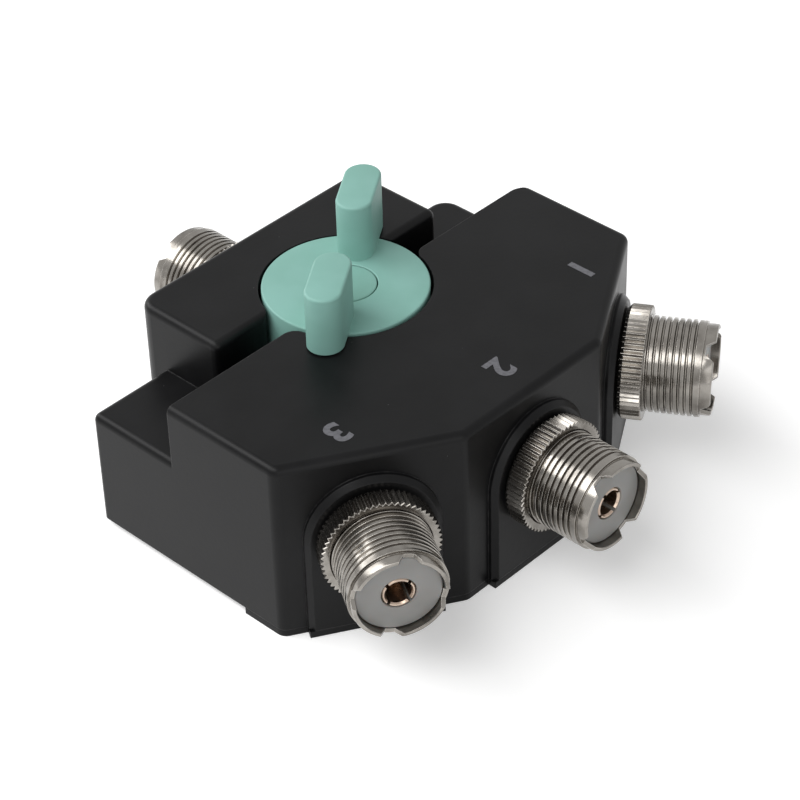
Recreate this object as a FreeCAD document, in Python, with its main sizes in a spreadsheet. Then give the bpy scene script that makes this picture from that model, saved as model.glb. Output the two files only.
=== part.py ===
import FreeCAD, Part
import math
import operator
import os

import Sketcher

# Coaxial antenna switch: a cast box with one common socket at the rear and three sockets
# in front. A knob on top turns a rotor inside, whose blade joins the common socket to one
# of the three.
#
# Frame, in millimetres: the origin is on the knob's axis, on the underside of the bottom
# plate. +Z is up, +X runs along the channel in the top, +Y points to the common socket.
# The knob is drawn at socket 3, the left one in front.

V = FreeCAD.Vector
UP = V(0, 0, 1)
DOC = FreeCAD.newDocument("coaxial_switch")
SHEET = DOC.addObject("Spreadsheet::Sheet", "Sizes")

SIZES = {
    # Casting: heights are above the underside of the plate
    "plate_thickness": 1.2,
    "block_top": 33.3,
    "ear_top": 22.5,
    "end_half": 41.3,
    "shoulder_depth": 24.9,
    "front_half": 15.75,
    "front_depth": 40.5,
    "channel_front": 1.95,
    "channel_rear": 3.7,
    "rear_half": 25.5,
    "rear_room": 1.3,
    "ear_depth": 16.7,
    "wall": 2.5,
    "roof": 2.2,
    "cup_wall": 2.0,
    "corner_round": 2.0,
    "rear_left_round": 3.5,
    "right_round": 3.5,
    "small_round": 1.2,
    "top_round": 1.3,
    "mouth_round": 2.5,
    # Sockets
    "port_height": 18.45,
    "arch_half": 10.9,
    "arch_bevel": 0.85,
    "arch_depth": 1.45,
    "thread_radius": 7.9375,
    "thread_pitch": 1.0583,
    "thread_end": 14.9,
    "thread_gap": 0.08,
    "thread_groove_half": 0.22,
    "thread_floor_half": 0.06,
    "thread_depth": 0.48,
    "shell_length": 16.8,
    "band_radius": 7.55,
    "bore_radius": 6.85,
    "flange_radius": 9.0,
    "flange_thickness": 2.5,
    "lip_radius": 5.5,
    "lip_thickness": 1.0,
    "rim_chamfer": 0.25,
    "notch_depth": 1.5,
    "notch_half": 1.6,
    "notch_floor_half": 0.8,
    "nut_radius": 9.5,
    "nut_length": 4.15,
    "nut_teeth": 60,
    "tooth_depth": 0.46,
    "nut_chamfer": 0.15,
    "nut_back_chamfer": 0.9,
    "insulator_recess": 1.5,
    "insulator_neck": 4.0,
    "neck_length": 0.6,
    "contact_radius": 2.7,
    "contact_bore": 2.05,
    "contact_recess": 1.55,
    "contact_depth": 11.0,
    "contact_root": 2.0,
    "contact_chamfer": 0.3,
    "slot_width": 0.6,
    "slot_depth": 7.0,
    "tail_radius": 1.0,
    "tail_length": 8.4,
    # Contact springs
    "spring_thickness": 0.5,
    "spring_width": 4.0,
    "spring_leg": 7.6,
    "spring_top": 19.95,
    "spring_level": 10.4,
    "tip_level": 8.65,
    "tip_half": 1.05,
    "slope_run": 2.5,
    "sweep_radius": 17.1,
    "pad_reach": 6.0,
    # Knob
    "knob_radius": 13.7,
    "knob_gap": 0.5,
    "knob_proud": 0.3,
    "knob_lift": 0.4,
    "knob_top_wall": 2.6,
    "knob_rim_wall": 2.0,
    "hub_radius": 5.5,
    "grip_centre": 12.8,
    "grip_half_length": 6.75,
    "grip_half_width": 3.04,
    "grip_height": 10.4,
    "grip_round": 0.45,
    "knob_edge": 0.3,
    "cap_radius": 5.1,
    "cap_gap": 0.15,
    "cap_thickness": 1.55,
    "screw_head_radius": 2.75,
    "screw_head_height": 1.8,
    "head_pocket": 2.2,
    "hub_web": 1.5,
    "screw_radius": 1.45,
    "screw_length": 9.0,
    "rib_half": 1.0,
    # Shaft and what it carries
    "shaft_radius": 3.0,
    "flat_distance": 2.3,
    "running_gap": 0.05,
    "seat_gap": 0.05,
    "shaft_bottom": 3.2,
    "bush_radius": 4.0,
    "boss_radius": 6.5,
    "boss_bottom": 16.0,
    "washer_thickness": 0.5,
    "clip_thickness": 0.6,
    "clip_radius": 5.0,
    "groove_radius": 2.4,
    "clip_opening": 1.9,
    "star_radius": 9.0,
    "star_bottom": 11.9,
    "notch_radius": 1.6,
    "bump_radius": 1.5,
    "rotor_radius": 18.6,
    "rotor_bottom": 4.6,
    "rotor_top": 8.0,
    "collar_radius": 4.2,
    "foil_thickness": 0.6,
    "blade_half_width": 3.0,
    "blade_length": 18.2,
    "pad_inner": 4.4,
    "pad_outer": 7.8,
    "ring_inner": 12.0,
    "ring_outer": 18.3,
    "ring_half_gap": 28.0,
    "rivet_radius": 0.9,
    "rivet_head": 1.2,
    "rivet_head_height": 0.45,
    "inner_rivet": 9.8,
    "outer_rivet": 12.8,
    "ring_rivet": 13.5,
    # Detent and stop
    "detent_gap": 0.6,
    "detent_thickness": 0.4,
    "detent_width": 2.0,
    "detent_eye_half": 2.0,
    "detent_tail": 3.5,
    "detent_post_start": 6.6,
    "detent_post_length": 5.0,
    "detent_post_width": 4.5,
    "detent_post_bottom": 11.0,
    "small_screw_radius": 1.0,
    "small_head_radius": 1.9,
    "small_head_height": 1.1,
    "small_screw_depth": 3.6,
    "stop_radius": 1.25,
    "stop_distance": 9.5,
    "stop_height": 3.5,
    # Grounding spring
    "ground_post_x": 27.0,
    "ground_post_y": 2.0,
    "ground_post_radius": 3.0,
    "ground_post_bottom": 12.0,
    "ground_tip": 15.3,
    # Bottom plate
    "plate_inset": 1.5,
    "lip_start": 16.6,
    "post_overlap": 0.4,
    "plate_post_front": 17.0,
    "plate_post_rear": 9.5,
    "plate_post_radius": 3.2,
    "plate_screw_radius": 1.5,
    "plate_screw_head": 2.7,
    "plate_screw_length": 8.0,
    "plate_screw_gap": 0.05,
}


class Size:
    """A length or angle that carries its sheet formula, so that sums stay bound to the sheet."""

    def __init__(self, formula, number):
        self.formula = formula
        self.number = number

    def __add__(self, other):
        return joined(self, "+", other, operator.add)

    def __radd__(self, other):
        return joined(other, "+", self, operator.add)

    def __sub__(self, other):
        return joined(self, "-", other, operator.sub)

    def __rsub__(self, other):
        return joined(other, "-", self, operator.sub)

    def __mul__(self, other):
        return joined(self, "*", other, operator.mul)

    def __rmul__(self, other):
        return joined(other, "*", self, operator.mul)

    def __truediv__(self, other):
        return joined(self, "/", other, operator.truediv)

    def __neg__(self):
        return joined(0, "-", self, operator.sub)


def sized(value):
    """A Size from a Size or a plain number."""
    if isinstance(value, Size):
        return value
    return Size(repr(float(value)), float(value))


def joined(left, sign, right, work):
    left, right = sized(left), sized(right)
    formula = "(%s %s %s)" % (left.formula, sign, right.formula)
    return Size(formula, work(left.number, right.number))


def root(value):
    return Size("sqrt(%s)" % value.formula, math.sqrt(value.number))


def sine(angle):
    return Size("sin(%s)" % angle.formula, math.sin(math.radians(angle.number)))


def cosine(angle):
    return Size("cos(%s)" % angle.formula, math.cos(math.radians(angle.number)))


def bearing(rise, run):
    """The angle, in degrees, whose tangent is rise over run."""
    formula = "(atan2(%s; %s) / 1 deg)" % (rise.formula, run.formula)
    return Size(formula, math.degrees(math.atan2(rise.number, run.number)))


def fill_sheet():
    """Put every size in the sheet, one a row, and return them by name."""
    named = {}
    for row, (alias, number) in enumerate(SIZES.items(), start=1):
        cell = "A%d" % row
        SHEET.set(cell, repr(number))
        SHEET.setAlias(cell, alias)
        named[alias] = Size("Sizes." + alias, float(number))
    DOC.recompute()
    return named


class Names:
    """The sheet's sizes as attributes."""

    def __init__(self, named):
        self.__dict__.update(named)


S = Names(fill_sheet())


def bind(item, setting, size):
    item.setExpression(setting, sized(size).formula)


class Port:
    """A socket's place: the middle of its face, and the turn of its outward direction.

    Its rolls are how far its rim's notches and its contact's slots stand turned about its axis.
    """

    def __init__(self, name, x, y, turn, reach, notch_roll, slot_roll):
        self.name = name
        self.x = sized(x)
        self.y = sized(y)
        self.turn = sized(turn)
        self.reach = reach
        self.notch_roll = notch_roll
        self.slot_roll = slot_roll
        self.out_x = cosine(self.turn)
        self.out_y = sine(self.turn)


# The slanted faces: their tilt, the middle of one, and where its axis meets the blade's end
SLANT = bearing(S.front_depth - S.shoulder_depth, S.end_half - S.front_half)
SIDE_X = (S.end_half + S.front_half) / 2
SIDE_Y = (S.shoulder_depth + S.front_depth) / 2
ALONG = SIDE_X * sine(SLANT) + SIDE_Y * cosine(SLANT)
ASIDE = SIDE_X * cosine(SLANT) - SIDE_Y * sine(SLANT)
MEETING = root(S.sweep_radius * S.sweep_radius - ASIDE * ASIDE)
STEP = SLANT + bearing(ASIDE, MEETING)
POINTER = -90 - STEP

# The rear block, deep enough for the flange of its socket behind the cup round the knob
RECESS_RADIUS = S.knob_radius + S.knob_gap
CUP_RADIUS = RECESS_RADIUS + S.cup_wall
REAR_DEPTH = CUP_RADIUS + S.rear_room + S.flange_thickness + S.wall

PORTS = [
    Port("common", 0, REAR_DEPTH, 90, REAR_DEPTH - S.pad_reach, 51, 20),
    Port("port_1", SIDE_X, -SIDE_Y, SLANT - 90, ALONG - MEETING, 29, 70),
    Port("port_2", 0, -S.front_depth, -90, S.front_depth - S.sweep_radius, 27, 30),
    Port("port_3", -SIDE_X, -SIDE_Y, -90 - SLANT, ALONG - MEETING, -13, 45),
]

# Levels that several pieces share
CEILING = S.ear_top - S.roof
BLOCK_CEILING = S.block_top - S.roof
KNOB_TOP = S.block_top + S.knob_proud
FLANGE_BACK = -(S.wall + S.flange_thickness)
NUT_START = S.arch_depth + S.seat_gap
NUT_END = NUT_START + S.nut_length
THREAD_MIDDLE = S.thread_radius - S.thread_pitch * 0.32
WASHER_TOP = S.boss_bottom - S.seat_gap
CLIP_TOP = WASHER_TOP - S.washer_thickness - S.seat_gap
STAR_TOP = CLIP_TOP - S.clip_thickness - S.seat_gap
FOIL_TOP = S.rotor_top + S.foil_thickness
CAP_SEAT = KNOB_TOP - S.cap_thickness
HEAD_SEAT = CAP_SEAT - S.head_pocket
SHAFT_TOP = HEAD_SEAT - S.hub_web
DETENT_FACE = S.star_radius + S.detent_gap
DETENT_LEVEL = (S.star_bottom + STAR_TOP) / 2
GROUND_LEVEL = S.ground_post_bottom - S.seat_gap

SUBPARTS = []


class Piece:
    """A sub-part made as a body, with a short way to add each feature it needs."""

    def __init__(self, name, listed=True):
        self.body = DOC.addObject("PartDesign::Body", name)
        self.body.Label = name
        self.volume = 0.0
        if listed:
            SUBPARTS.append(self.body)

    def settle(self, feature, grows):
        """Work the new feature out, and stop if it added or took away nothing."""
        DOC.recompute()
        volume = self.body.Shape.Volume
        changed = volume - self.volume
        if (changed if grows else -changed) < 1e-4:
            raise RuntimeError("%s in %s changed nothing" % (feature.Name, self.body.Label))
        self.volume = volume
        return feature

    def sketch(self, role, height=0):
        """An empty sketch on one of the body's own planes, raised along its normal."""
        sketch = self.body.newObject("Sketcher::SketchObject", "sketch")
        planes = self.body.Origin.OriginFeatures
        sketch.AttachmentSupport = [(next(p for p in planes if p.Role == role), "")]
        sketch.MapMode = "FlatFace"
        bind(sketch, "AttachmentOffset.Base.z", height)
        return sketch

    def facing(self, port, outward=0):
        """A sketch that faces out along a socket, at a distance from the casting's face."""
        sketch = self.sketch("XZ_Plane", -(port.y + port.out_y * outward))
        bind(sketch, "AttachmentOffset.Base.x", port.x + port.out_x * outward)
        return turned_about(sketch, "AttachmentOffset", V(0, 1, 0), port.turn + 90)

    def feature(self, kind, sketch, **settings):
        item = self.body.newObject("PartDesign::" + kind, kind.lower())
        item.Profile = sketch
        for name, value in settings.items():
            setattr(item, name, value)
        return item

    def pad(self, sketch, length, both_ways=False):
        item = self.feature("Pad", sketch, Midplane=both_ways)
        bind(item, "Length", length)
        return self.settle(item, True)

    def pocket(self, sketch, length, both_ways=False):
        """Cut along the sketch's normal, or half each way."""
        item = self.feature("Pocket", sketch, Midplane=both_ways, Reversed=not both_ways)
        bind(item, "Length", length)
        return self.settle(item, False)

    def spin(self, sketch, axis):
        """Turn a profile once round the sketch's own axis."""
        item = self.feature("Revolution", sketch, ReferenceAxis=(sketch, [axis]), Angle=360.0)
        return self.settle(item, True)

    def primitive(self, kind, x, y, z, **sizes):
        item = self.body.newObject("PartDesign::" + kind, kind.lower())
        for name, value in sizes.items():
            bind(item, name, value)
        for name, value in zip("xyz", (x, y, z)):
            bind(item, "Placement.Base." + name, value)
        return item

    def add(self, shape, x, y, z, **sizes):
        return self.settle(self.primitive("Additive" + shape, x, y, z, **sizes), True)

    def cut(self, shape, x, y, z, **sizes):
        return self.settle(self.primitive("Subtractive" + shape, x, y, z, **sizes), False)

    def fillet(self, radius, wanted):
        """Round every edge that the test picks out."""
        return self.dress("Fillet", "Radius", radius, wanted)

    def chamfer(self, size, wanted):
        """Bevel every edge that the test picks out."""
        return self.dress("Chamfer", "Size", size, wanted)

    def dress(self, kind, setting, size, wanted):
        last = self.body.Tip
        names = edges_where(last.Shape, wanted)
        item = self.body.newObject("PartDesign::" + kind, kind.lower())
        item.Base = (last, names)
        bind(item, setting, size)
        DOC.recompute()
        if "Invalid" in item.State or item.Shape.isNull():
            raise RuntimeError("could not dress %s in %s" % (names, self.body.Label))
        self.volume = self.body.Shape.Volume
        return item

    def place(self, x, y, z, turn):
        """Stand the finished body at its place, turned about the vertical."""
        for name, value in zip("xyz", (x, y, z)):
            bind(self.body, "Placement.Base." + name, value)
        turned_about(self.body, "Placement", UP, turn)
        DOC.recompute()
        return self


def turned_about(item, setting, axis, angle):
    """Turn an item about an axis by a bound angle, keeping its bound position."""
    placed = getattr(item, setting)
    setattr(item, setting, FreeCAD.Placement(placed.Base, FreeCAD.Rotation(axis, 1)))
    bind(item, setting + ".Rotation.Angle", angle)
    return item


def edges_where(shape, wanted):
    names = ["Edge%d" % n for n, edge in enumerate(shape.Edges, start=1) if wanted(edge)]
    if not names:
        raise RuntimeError("no edge to round")
    return names


def near(first, second):
    return abs(sized(first).number - sized(second).number) < 0.02


def upright_at(x, y):
    """A test for the upright edges at one place in plan."""
    def wanted(edge):
        ends = [vertex.Point for vertex in edge.Vertexes]
        return len(ends) == 2 and all(near(p.x, x) and near(p.y, y) for p in ends)
    return wanted


def level_at(height, allowed=lambda point: True):
    """A test for the level edges at one height whose middle is allowed."""
    def wanted(edge):
        box = edge.BoundBox
        flat = near(box.ZMin, height) and near(box.ZMax, height)
        return flat and allowed(box.Center)
    return wanted


def hold(sketch, line, end, x, y):
    """Hold one end of a line at sheet-driven distances from the sketch's origin."""
    for kind, size in (("DistanceX", x), ("DistanceY", y)):
        constraint = Sketcher.Constraint(kind, -1, 1, line, end, sized(size).number)
        index = sketch.addConstraint(constraint)
        bind(sketch, "Constraints[%d]" % index, size)


def outline(sketch, corners):
    """A closed outline, each corner held from the sketch's origin.

    A corner is its x and y. With a third value, a Bend, the side that leaves it is an arc.
    """
    points = [V(sized(corner[0]).number, sized(corner[1]).number, 0) for corner in corners]
    count = len(points)
    starts = []
    for n, (_, _, *bend) in enumerate(corners):
        first, last = points[n], points[(n + 1) % count]
        starts.append(bend[0].draw(sketch, first, last) if bend else 1)
        if not bend:
            sketch.addGeometry(Part.LineSegment(first, last))
    for n in range(count):
        after = (n + 1) % count
        sketch.addConstraint(Sketcher.Constraint("Coincident", n, 3 - starts[n], after, starts[after]))
    for n, (x, y, *bend) in enumerate(corners):
        hold(sketch, n, starts[n], x, y)
        if bend:
            index = sketch.addConstraint(Sketcher.Constraint("Radius", n, bend[0].radius.number))
            bind(sketch, "Constraints[%d]" % index, bend[0].radius)
    return sketch


class Bend:
    """An arc about a centre, turning left or right as it leaves a corner."""

    def __init__(self, x, y, radius, left=True):
        self.centre = V(sized(x).number, sized(y).number, 0)
        self.radius = sized(radius)
        self.left = left

    def draw(self, sketch, first, last):
        """Draw the arc, and say which of its ends is the first."""
        ends = (first, last) if self.left else (last, first)
        low, high = (math.atan2(*(end - self.centre)[1::-1]) for end in ends)
        ring = Part.Circle(self.centre, UP, self.radius.number)
        sketch.addGeometry(Part.ArcOfCircle(ring, low, high if high > low else high + math.tau))
        return 1 if self.left else 2


def circle(sketch, x, y, radius):
    """A circle held by its centre and radius."""
    x, y, radius = sized(x), sized(y), sized(radius)
    ring = sketch.addGeometry(Part.Circle(V(x.number, y.number, 0), UP, radius.number))
    hold(sketch, ring, 3, x, y)
    index = sketch.addConstraint(Sketcher.Constraint("Radius", ring, radius.number))
    bind(sketch, "Constraints[%d]" % index, radius)
    return sketch


def rectangle(x_low, x_high, y_low, y_high):
    return [(x_low, y_low), (x_high, y_low), (x_high, y_high), (x_low, y_high)]


def mirrored(right):
    """Corners down the right side, then the same ones up the left side."""
    return right + [(-x, y) for x, y in reversed(right)]


def footprint(rear, inset=0):
    """The six-cornered plan of the casting, ending at a line in the rear, drawn in by inset."""
    along, across = cosine(SLANT), sine(SLANT)
    return mirrored([
        (S.end_half - inset, rear),
        (S.end_half - inset, -S.shoulder_depth + inset * (1 - across) / along),
        (S.front_half - inset * (1 - along) / across, -S.front_depth + inset),
    ])


def make_housing():
    """The cast box: two high blocks, lower ears at the ends, a channel and a round recess."""
    piece = Piece("housing")
    floor = S.plate_thickness
    piece.pad(outline(piece.sketch("XY_Plane", floor), footprint(S.ear_depth)), S.ear_top - floor)
    high_front = outline(piece.sketch("XY_Plane", floor), footprint(-S.channel_front))
    piece.pad(high_front, S.block_top - floor)
    piece.add("Box", -S.rear_half, S.channel_rear, floor,
              Length=S.rear_half * 2, Width=REAR_DEPTH - S.channel_rear, Height=S.block_top - floor)
    round_casting(piece)
    for port in PORTS:
        add_arch(piece, port)
    hollow_casting(piece)
    add_inner_posts(piece)
    open_casting(piece)
    drill_casting(piece)


def round_casting(piece):
    """The rounded upright corners and top edges of the casting."""
    for side in (-1, 1):
        piece.fillet(S.corner_round, upright_at(side * S.end_half, -S.shoulder_depth))
        piece.fillet(S.corner_round, upright_at(side * S.front_half, -S.front_depth))
        piece.fillet(S.small_round, upright_at(side * S.rear_half, S.channel_rear))
    piece.fillet(S.right_round, upright_at(S.end_half, S.ear_depth))
    piece.fillet(S.small_round, upright_at(-S.end_half, S.ear_depth))
    piece.fillet(S.rear_left_round, upright_at(-S.rear_half, REAR_DEPTH))
    piece.fillet(S.small_round, upright_at(S.rear_half, REAR_DEPTH))

    def off_channel(point):
        return not near(point.y, -S.channel_front)

    piece.fillet(S.top_round, level_at(S.block_top, off_channel))
    cut_right_corner(piece)

    def outer(point):
        beyond = abs(point.x) > S.rear_half.number and point.y > -S.channel_front.number + 0.1
        return beyond and (near(abs(point.x), S.end_half) or near(point.y, S.ear_depth))

    piece.fillet(S.top_round, level_at(S.ear_top, outer))


def cut_right_corner(piece):
    """The rounded corner of the front block at the right end of the channel."""
    x, y = S.end_half - S.right_round, -S.channel_front - S.right_round
    corner = outline(piece.sketch("XY_Plane", S.ear_top), [
        (S.end_half + 1, y),
        (S.end_half + 1, 1 - S.channel_front),
        (x, 1 - S.channel_front),
        (x, -S.channel_front, Bend(x, y, S.right_round, left=False)),
        (S.end_half, y),
    ])
    piece.pocket(corner, S.block_top - S.ear_top + 1)


def add_arch(piece, port):
    """The raised arch round a socket: straight legs down to the foot, a half circle on top."""
    start = S.top_round
    reach = S.arch_depth + start
    shape = piece.facing(port, -start)
    outline(shape, rectangle(-S.arch_half, S.arch_half, S.plate_thickness, S.port_height))
    piece.pad(shape, reach)
    disc = circle(piece.facing(port, -start), 0, S.port_height, S.arch_half)
    piece.pad(disc, reach)
    limit = math.hypot(port.x.number, port.y.number)
    face_x = port.x + port.out_x * S.arch_depth
    face_y = port.y + port.out_y * S.arch_depth

    def front_edge(edge):
        middle = edge.BoundBox.Center - V(face_x.number, face_y.number, 0)
        outward = middle.x * port.out_x.number + middle.y * port.out_y.number
        box = edge.BoundBox
        on_foot = near(box.ZMin, S.plate_thickness) and near(box.ZMax, S.plate_thickness)
        return abs(outward) < 0.02 and not on_foot and edge.CenterOfMass.Length < 2 * limit
    piece.chamfer(S.arch_bevel, front_edge)


def hollow_casting(piece):
    """The cavity: low under the ears, high inside the two blocks."""
    low = S.plate_thickness
    piece.pocket(outline(piece.sketch("XY_Plane", low), footprint(S.ear_depth - S.wall, S.wall)),
                 CEILING - low)
    high = outline(piece.sketch("XY_Plane", low), footprint(-S.channel_front - S.wall, S.wall))
    piece.pocket(high, BLOCK_CEILING - low)
    side = S.rear_half - S.wall
    rear = outline(piece.sketch("XY_Plane", low),
                   rectangle(-side, side, S.channel_rear + S.wall, REAR_DEPTH - S.wall))
    piece.pocket(rear, BLOCK_CEILING - low)


def add_inner_posts(piece):
    """The cup round the recess, the shaft boss and the posts that carry screws."""
    piece.add("Cylinder", 0, 0, CEILING, Radius=CUP_RADIUS, Height=BLOCK_CEILING - CEILING)
    piece.add("Cylinder", 0, 0, S.boss_bottom, Radius=S.boss_radius, Height=S.ear_top - S.boss_bottom)
    piece.add("Box", -DETENT_FACE - S.detent_thickness - S.seat_gap - S.detent_post_width,
              S.detent_post_start, S.detent_post_bottom, Length=S.detent_post_width,
              Width=S.detent_post_length, Height=BLOCK_CEILING - S.detent_post_bottom)
    piece.add("Cylinder", S.ground_post_x, S.ground_post_y, S.ground_post_bottom,
              Radius=S.ground_post_radius, Height=S.ear_top - S.roof / 2 - S.ground_post_bottom)
    posts = piece.sketch("XY_Plane", S.plate_thickness)
    for x, y in plate_screw_places():
        circle(posts, x, y, S.plate_post_radius)
    piece.pad(posts, CEILING + S.roof / 2 - S.plate_thickness)


def plate_screw_places():
    """The posts' places in plan, each post a little way into the end wall."""
    across = S.end_half - S.wall - S.plate_post_radius + S.post_overlap
    rows = (-S.plate_post_front, S.plate_post_rear)
    return [(side * across, y) for side in (-1, 1) for y in rows]


def open_casting(piece):
    """The knob's recess and the channel across it, with their meeting corners rounded."""
    end = CUP_RADIUS + 1
    middle = Bend(0, 0, RECESS_RADIUS)
    front = Mouth(-S.channel_front, -1)
    rear = Mouth(S.channel_rear, 1)
    sides = [(end, -S.channel_front), (end, S.channel_rear)]
    sides += [(rear.x, rear.edge, rear.bend(1)), (rear.meet_x, rear.meet_y, middle)]
    sides += [(-rear.meet_x, rear.meet_y, rear.bend(-1)), (-rear.x, rear.edge)]
    sides += [(-end, S.channel_rear), (-end, -S.channel_front)]
    sides += [(-front.x, front.edge, front.bend(-1)), (-front.meet_x, front.meet_y, middle)]
    sides += [(front.meet_x, front.meet_y, front.bend(1)), (front.x, front.edge)]
    opening = outline(piece.sketch("XY_Plane", S.ear_top), sides)
    piece.pocket(opening, S.block_top - S.ear_top + 1)


class Mouth:
    """Where a wall of the channel rounds off into the recess, on the right side."""

    def __init__(self, edge, side):
        far = RECESS_RADIUS + S.mouth_round
        self.edge = edge
        self.y = edge + S.mouth_round * side
        self.x = root(far * far - self.y * self.y)
        self.meet_x = self.x * RECESS_RADIUS / far
        self.meet_y = self.y * RECESS_RADIUS / far

    def bend(self, side):
        return Bend(self.x * side, self.y, S.mouth_round, left=False)


def drill_casting(piece):
    """The holes: bush, stop pin, sockets and screws."""
    piece.cut("Cylinder", 0, 0, S.boss_bottom - 1,
              Radius=S.bush_radius, Height=S.ear_top - S.boss_bottom + 2)
    piece.cut("Cylinder", 0, S.stop_distance, CEILING - 1, Radius=S.stop_radius, Height=S.roof + 2)
    for port in PORTS:
        hole = circle(piece.facing(port, -S.wall - 1), 0, S.port_height,
                      S.thread_radius + S.thread_gap)
        piece.pocket(hole, S.wall + S.arch_depth + 2)
    screws = piece.sketch("XY_Plane", S.plate_thickness - 1)
    for x, y in plate_screw_places():
        circle(screws, x, y, S.plate_screw_radius + S.plate_screw_gap)
    piece.pocket(screws, S.plate_screw_length + 2)
    piece.cut("Cylinder", S.ground_post_x, S.ground_post_y, S.ground_post_bottom - 1,
              Radius=S.small_screw_radius + S.seat_gap, Height=S.small_screw_depth + 1.5)
    side = piece.sketch("YZ_Plane", -DETENT_FACE - S.detent_thickness - S.small_screw_depth - 0.5)
    circle(side, S.detent_post_start + S.detent_post_length / 2, DETENT_LEVEL,
           S.small_screw_radius + S.seat_gap)
    piece.pocket(side, S.small_screw_depth + 1)


def make_bottom_plate():
    """The steel plate under the casting: flush in front, drawn in behind."""
    piece = Piece("bottom_plate")
    edge = S.end_half - S.plate_inset
    side = S.rear_half - S.plate_inset
    step = S.ear_depth - S.plate_inset
    corners = mirrored([
        (side, REAR_DEPTH - S.plate_inset),
        (side, step),
        (edge, step),
        (edge, -S.lip_start + S.plate_inset),
        (S.end_half, -S.lip_start),
        (S.end_half, -S.shoulder_depth),
        (S.front_half, -S.front_depth),
    ])
    piece.pad(outline(piece.sketch("XY_Plane"), corners), S.plate_thickness)
    for sign in (-1, 1):
        piece.fillet(S.corner_round, upright_at(sign * S.end_half, -S.shoulder_depth))
        piece.fillet(S.corner_round, upright_at(sign * S.front_half, -S.front_depth))
    for port in PORTS[1:]:
        tab = outline(piece.facing(port, -S.plate_inset),
                      rectangle(-S.arch_half, S.arch_half, 0, S.plate_thickness))
        piece.pad(tab, S.plate_inset + S.arch_depth)
    for x, y in plate_screw_places():
        gap = S.plate_screw_gap
        piece.cut("Cone", x, y, 0, Radius1=S.plate_screw_head + gap,
                  Radius2=S.plate_screw_radius + gap, Height=S.plate_thickness)


def make_plate_screws():
    """Four countersunk screws, with flush heads."""
    screws = []
    for x, y in plate_screw_places():
        piece = Piece("plate_screw", listed=False)
        profile = outline(piece.sketch("XZ_Plane"), [
            (0, S.seat_gap),
            (S.plate_screw_head, S.seat_gap),
            (S.plate_screw_radius, S.plate_thickness),
            (S.plate_screw_radius, S.plate_screw_length),
            (0, S.plate_screw_length),
        ])
        piece.spin(profile, "V_Axis")
        screws.append(piece.place(x, y, 0, 0).body)
    group("bottom_plate_screws", screws)


def group(name, bodies):
    """Several like solids under one name."""
    item = DOC.addObject("Part::Compound", name)
    item.Label = name
    item.Links = bodies
    DOC.recompute()
    SUBPARTS.append(item)


def make_shell(port):
    """The plated body of a socket: flange inside the wall, thread outside, notched rim.

    The thread under the nut is drawn plain, at its middle radius.
    """
    piece = Piece(port.name + "_shell")
    back = FLANGE_BACK
    points = [
        (back, S.lip_radius),
        (back, S.flange_radius),
        (-S.wall, S.flange_radius),
        (-S.wall, THREAD_MIDDLE),
        (NUT_END, THREAD_MIDDLE),
        (NUT_END, S.thread_radius),
        *thread_profile(),
        (S.thread_end, S.thread_radius),
        (S.thread_end, S.band_radius),
        (S.shell_length - S.rim_chamfer, S.band_radius),
        (S.shell_length, S.band_radius - S.rim_chamfer),
        (S.shell_length, S.bore_radius),
        (back + S.lip_thickness, S.bore_radius),
        (back + S.lip_thickness, S.lip_radius),
    ]
    piece.spin(outline(piece.sketch("XZ_Plane"), points), "H_Axis")
    for role in ("XY_Plane", "XZ_Plane"):
        notch = outline(rolled(piece.sketch(role), port.notch_roll), [
            (S.shell_length - S.notch_depth, -S.notch_floor_half),
            (S.shell_length + 1, -S.notch_half - 1),
            (S.shell_length + 1, S.notch_half + 1),
            (S.shell_length - S.notch_depth, S.notch_floor_half),
        ])
        piece.pocket(notch, S.thread_radius * 2 + 2, both_ways=True)
    piece.place(port.x, port.y, S.port_height, port.turn)


def thread_profile():
    """The exposed thread in section: a ring groove for each turn, midway between its ends.

    The grooves are narrower than the real thread's, so the crests read as one cylinder.
    The thread fades out at both ends, which together take the length of one more turn.
    """
    turns = int((S.thread_end - NUT_END).number / S.thread_pitch.number) - 1
    first = (NUT_END + S.thread_end - S.thread_pitch * (turns - 1)) / 2
    floor = S.thread_radius - S.thread_depth
    points = []
    for n in range(turns):
        middle = first + S.thread_pitch * n
        points += [(middle - S.thread_groove_half, S.thread_radius),
                   (middle - S.thread_floor_half, floor),
                   (middle + S.thread_floor_half, floor),
                   (middle + S.thread_groove_half, S.thread_radius)]
    return points


def rolled(sketch, angle):
    """Turn a sketch about the socket's axis, which is its own X axis."""
    return turned_about(sketch, "AttachmentOffset", V(1, 0, 0), angle)


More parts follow.
